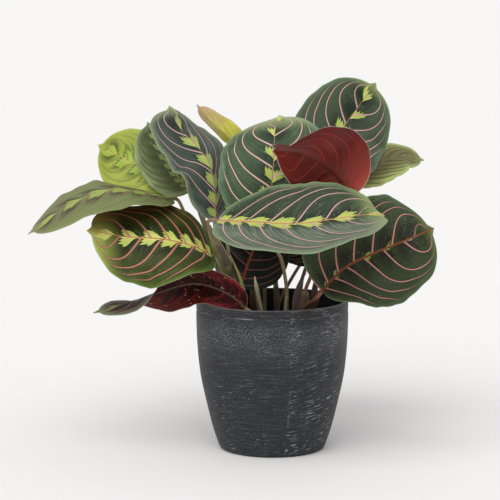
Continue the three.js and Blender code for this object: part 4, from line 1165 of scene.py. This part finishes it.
# Rolled shoot: the next leaf, still a tight pale roll with a papery point.
grow_shoot(
    "shoot_rolled_stems", [beige_petiole, pale_sheath],
    sheaths=[([[-8, -13, 84], [-8, -13, 104], [-11, -14, 122], [-14, -14, 139]],
              [2.8, 2.8, 2.8, 2.6, 2.4, 0.4], (-0.6, -1, 0), 520)],
)

# Low centre shoot: one dark petiole in the shade.
grow_shoot("shoot_low_centre_stems", [purple_petiole], petioles=[((-30, 4), [], "leaf_low_centre_blade")])

# Back left shoot: carries the three leaves on the far left.
grow_shoot(
    "shoot_back_left_stems", [olive_petiole, brown_sheath],
    petioles=[
        ((-38, 3), [[-40, 3, 130], [-47, 4, 152], [-58, 8, 172], [-68, 9, 184]], "leaf_far_left_blade"),
        ((-38, 3), [[-40, 4, 130], [-48, 8, 158], [-56, 9, 182]], "leaf_lime_blade"),
        ((-38, 3), [[-40, 2, 130], [-46, 4, 160], [-54, 3, 182]], "leaf_dull_green_blade"),
    ],
    sheaths=[([[-38, 3, 101], [-40, 3, 130], [-46, 5, 150]], [2.4, 3, 2], (-1, -0.2, 0), 330)],
)

# Centre shoot: a plain beige petiole that rises in the middle of the pot.
grow_shoot(
    "shoot_centre_stems", [beige_petiole, olive_sheath],
    petioles=[((11, -4), [[11, -4, 112], [11, -4, 130], [6, -10, 154]], "leaf_centre_blade")],
    sheaths=[([[11, -4, 100], [11, -4, 112], [11, -4, 122]], [2.2, 2.2, 1.8], (-1, -0.4, 0), 330)],
)

# Young shoot: carries the yellow leaf from behind.
grow_shoot(
    "shoot_young_stems", [olive_petiole],
    petioles=[((-6, 30), [[-6, 33, 125], [-7, 40, 160], [-9, 35, 185]], "leaf_young_yellow_blade")],
)

# Right shoot: a red-brown petiole to the low leaf and a rose one to the red leaf, from one node.
grow_shoot(
    "shoot_right_stems", [rose_petiole, brown_sheath],
    petioles=[
        ((25, -3), [[25, -3, 109], [26, -10, 114]], "leaf_right_low_blade"),
        ((25, -3), [[26, -1, 125], [31, -1, 140], [33, -4, 165], [37, -12, 187], [46, -20, 199]],
         "leaf_red_underside_blade"),
    ],
    sheaths=[([[25, -3, 100], [25, -3, 110], [26, -1, 125]], [4.6, 4.8, 2.6], (0.5, 1, 0), 320)],
    nodes=(119,),
)

# Top right shoot: a dark petiole in a sheath that runs out to a point.
grow_shoot(
    "shoot_top_right_stems", [purple_petiole, olive_sheath],
    petioles=[((19, 14), [[19, 14, 112], [23, 14, 130], [31, 10, 156], [38, 2, 185]],
               "leaf_top_right_blade")],
    sheaths=[([[19, 14, 100], [20, 14, 118], [24, 14, 133], [27, 14, 138]], [3.4, 3.8, 2.8, 0.6],
              (1, 0.6, 0), 320)],
    nodes=(121,),
)

# Right back shoot: carries the yellowing leaf and the low one behind the centre.
grow_shoot(
    "shoot_right_back_stems", [olive_petiole, brown_sheath],
    petioles=[
        ((33, 26), [[34, 26, 120], [40, 25, 150], [45, 24, 180]], "leaf_right_back_blade"),
        ((33, 26), [[36, 28, 112], [42, 30, 128]], "leaf_low_back_blade"),
    ],
    sheaths=[([[33, 26, 100], [34, 26, 120], [36, 26, 132]], [3, 3, 2], (1, 0.6, 0), 330)],
)

# Back shoots: two, for the four leaves that face away from the front.
grow_shoot(
    "shoot_back_stems", [olive_petiole, olive_sheath],
    petioles=[
        ((4, 42), [[4, 44, 118], [3, 49, 140]], "leaf_back_centre_blade"),
        ((4, 42), [[8, 44, 114], [17, 46, 130]], "leaf_back_right_blade"),
    ],
    sheaths=[([[4, 42, 100], [4, 43, 112], [3, 46, 126]], [2.6, 2.8, 2], (0.3, 1, 0), 330)],
)
grow_shoot(
    "shoot_back_side_stems", [olive_petiole, brown_sheath],
    petioles=[
        ((-14, 34), [[-15, 34, 110], [-16, 35, 135]], "leaf_back_left_blade"),
        ((-14, 34), [[-13, 36, 108]], "leaf_back_low_blade"),
    ],
    sheaths=[([[-14, 34, 100], [-15, 34, 112], [-15, 35, 124]], [3, 3, 2], (-0.4, 1, 0), 330)],
)


# Studio: a plain pale floor, an even pale surround and one large soft light, which comes from
# above the camera's left, as the plant's soft highlights show.
floor_mesh = bpy.data.meshes.new("floor")
floor_mesh.from_pydata([(-60, -60, 0), (60, -60, 0), (60, 60, 0), (-60, 60, 0)], [], [(0, 1, 2, 3)])
floor = bpy.data.objects.new("floor", floor_mesh)
bpy.context.scene.collection.objects.link(floor)
floor_paint, add = new_material("matt_white_floor_paint")
finish_material(floor_paint, add, {"Base Color": "#f2f1ef", "Roughness": 0.75})
floor_mesh.materials.append(floor_paint)

key_light = bpy.data.lights.new("key", "SUN")
key_light.energy = 1.7
key_light.angle = math.radians(50)
key = bpy.data.objects.new("key", key_light)
key.rotation_euler = Vector((0.3, 0.8, -1.0)).to_track_quat("-Z", "Y").to_euler()
bpy.context.scene.collection.objects.link(key)

world = bpy.data.worlds.new("pale_surround")
world.use_nodes = True
world.node_tree.nodes["Background"].inputs["Color"].default_value = srgb("#f2f2f4")
world.node_tree.nodes["Background"].inputs["Strength"].default_value = 0.75
bpy.context.scene.world = world
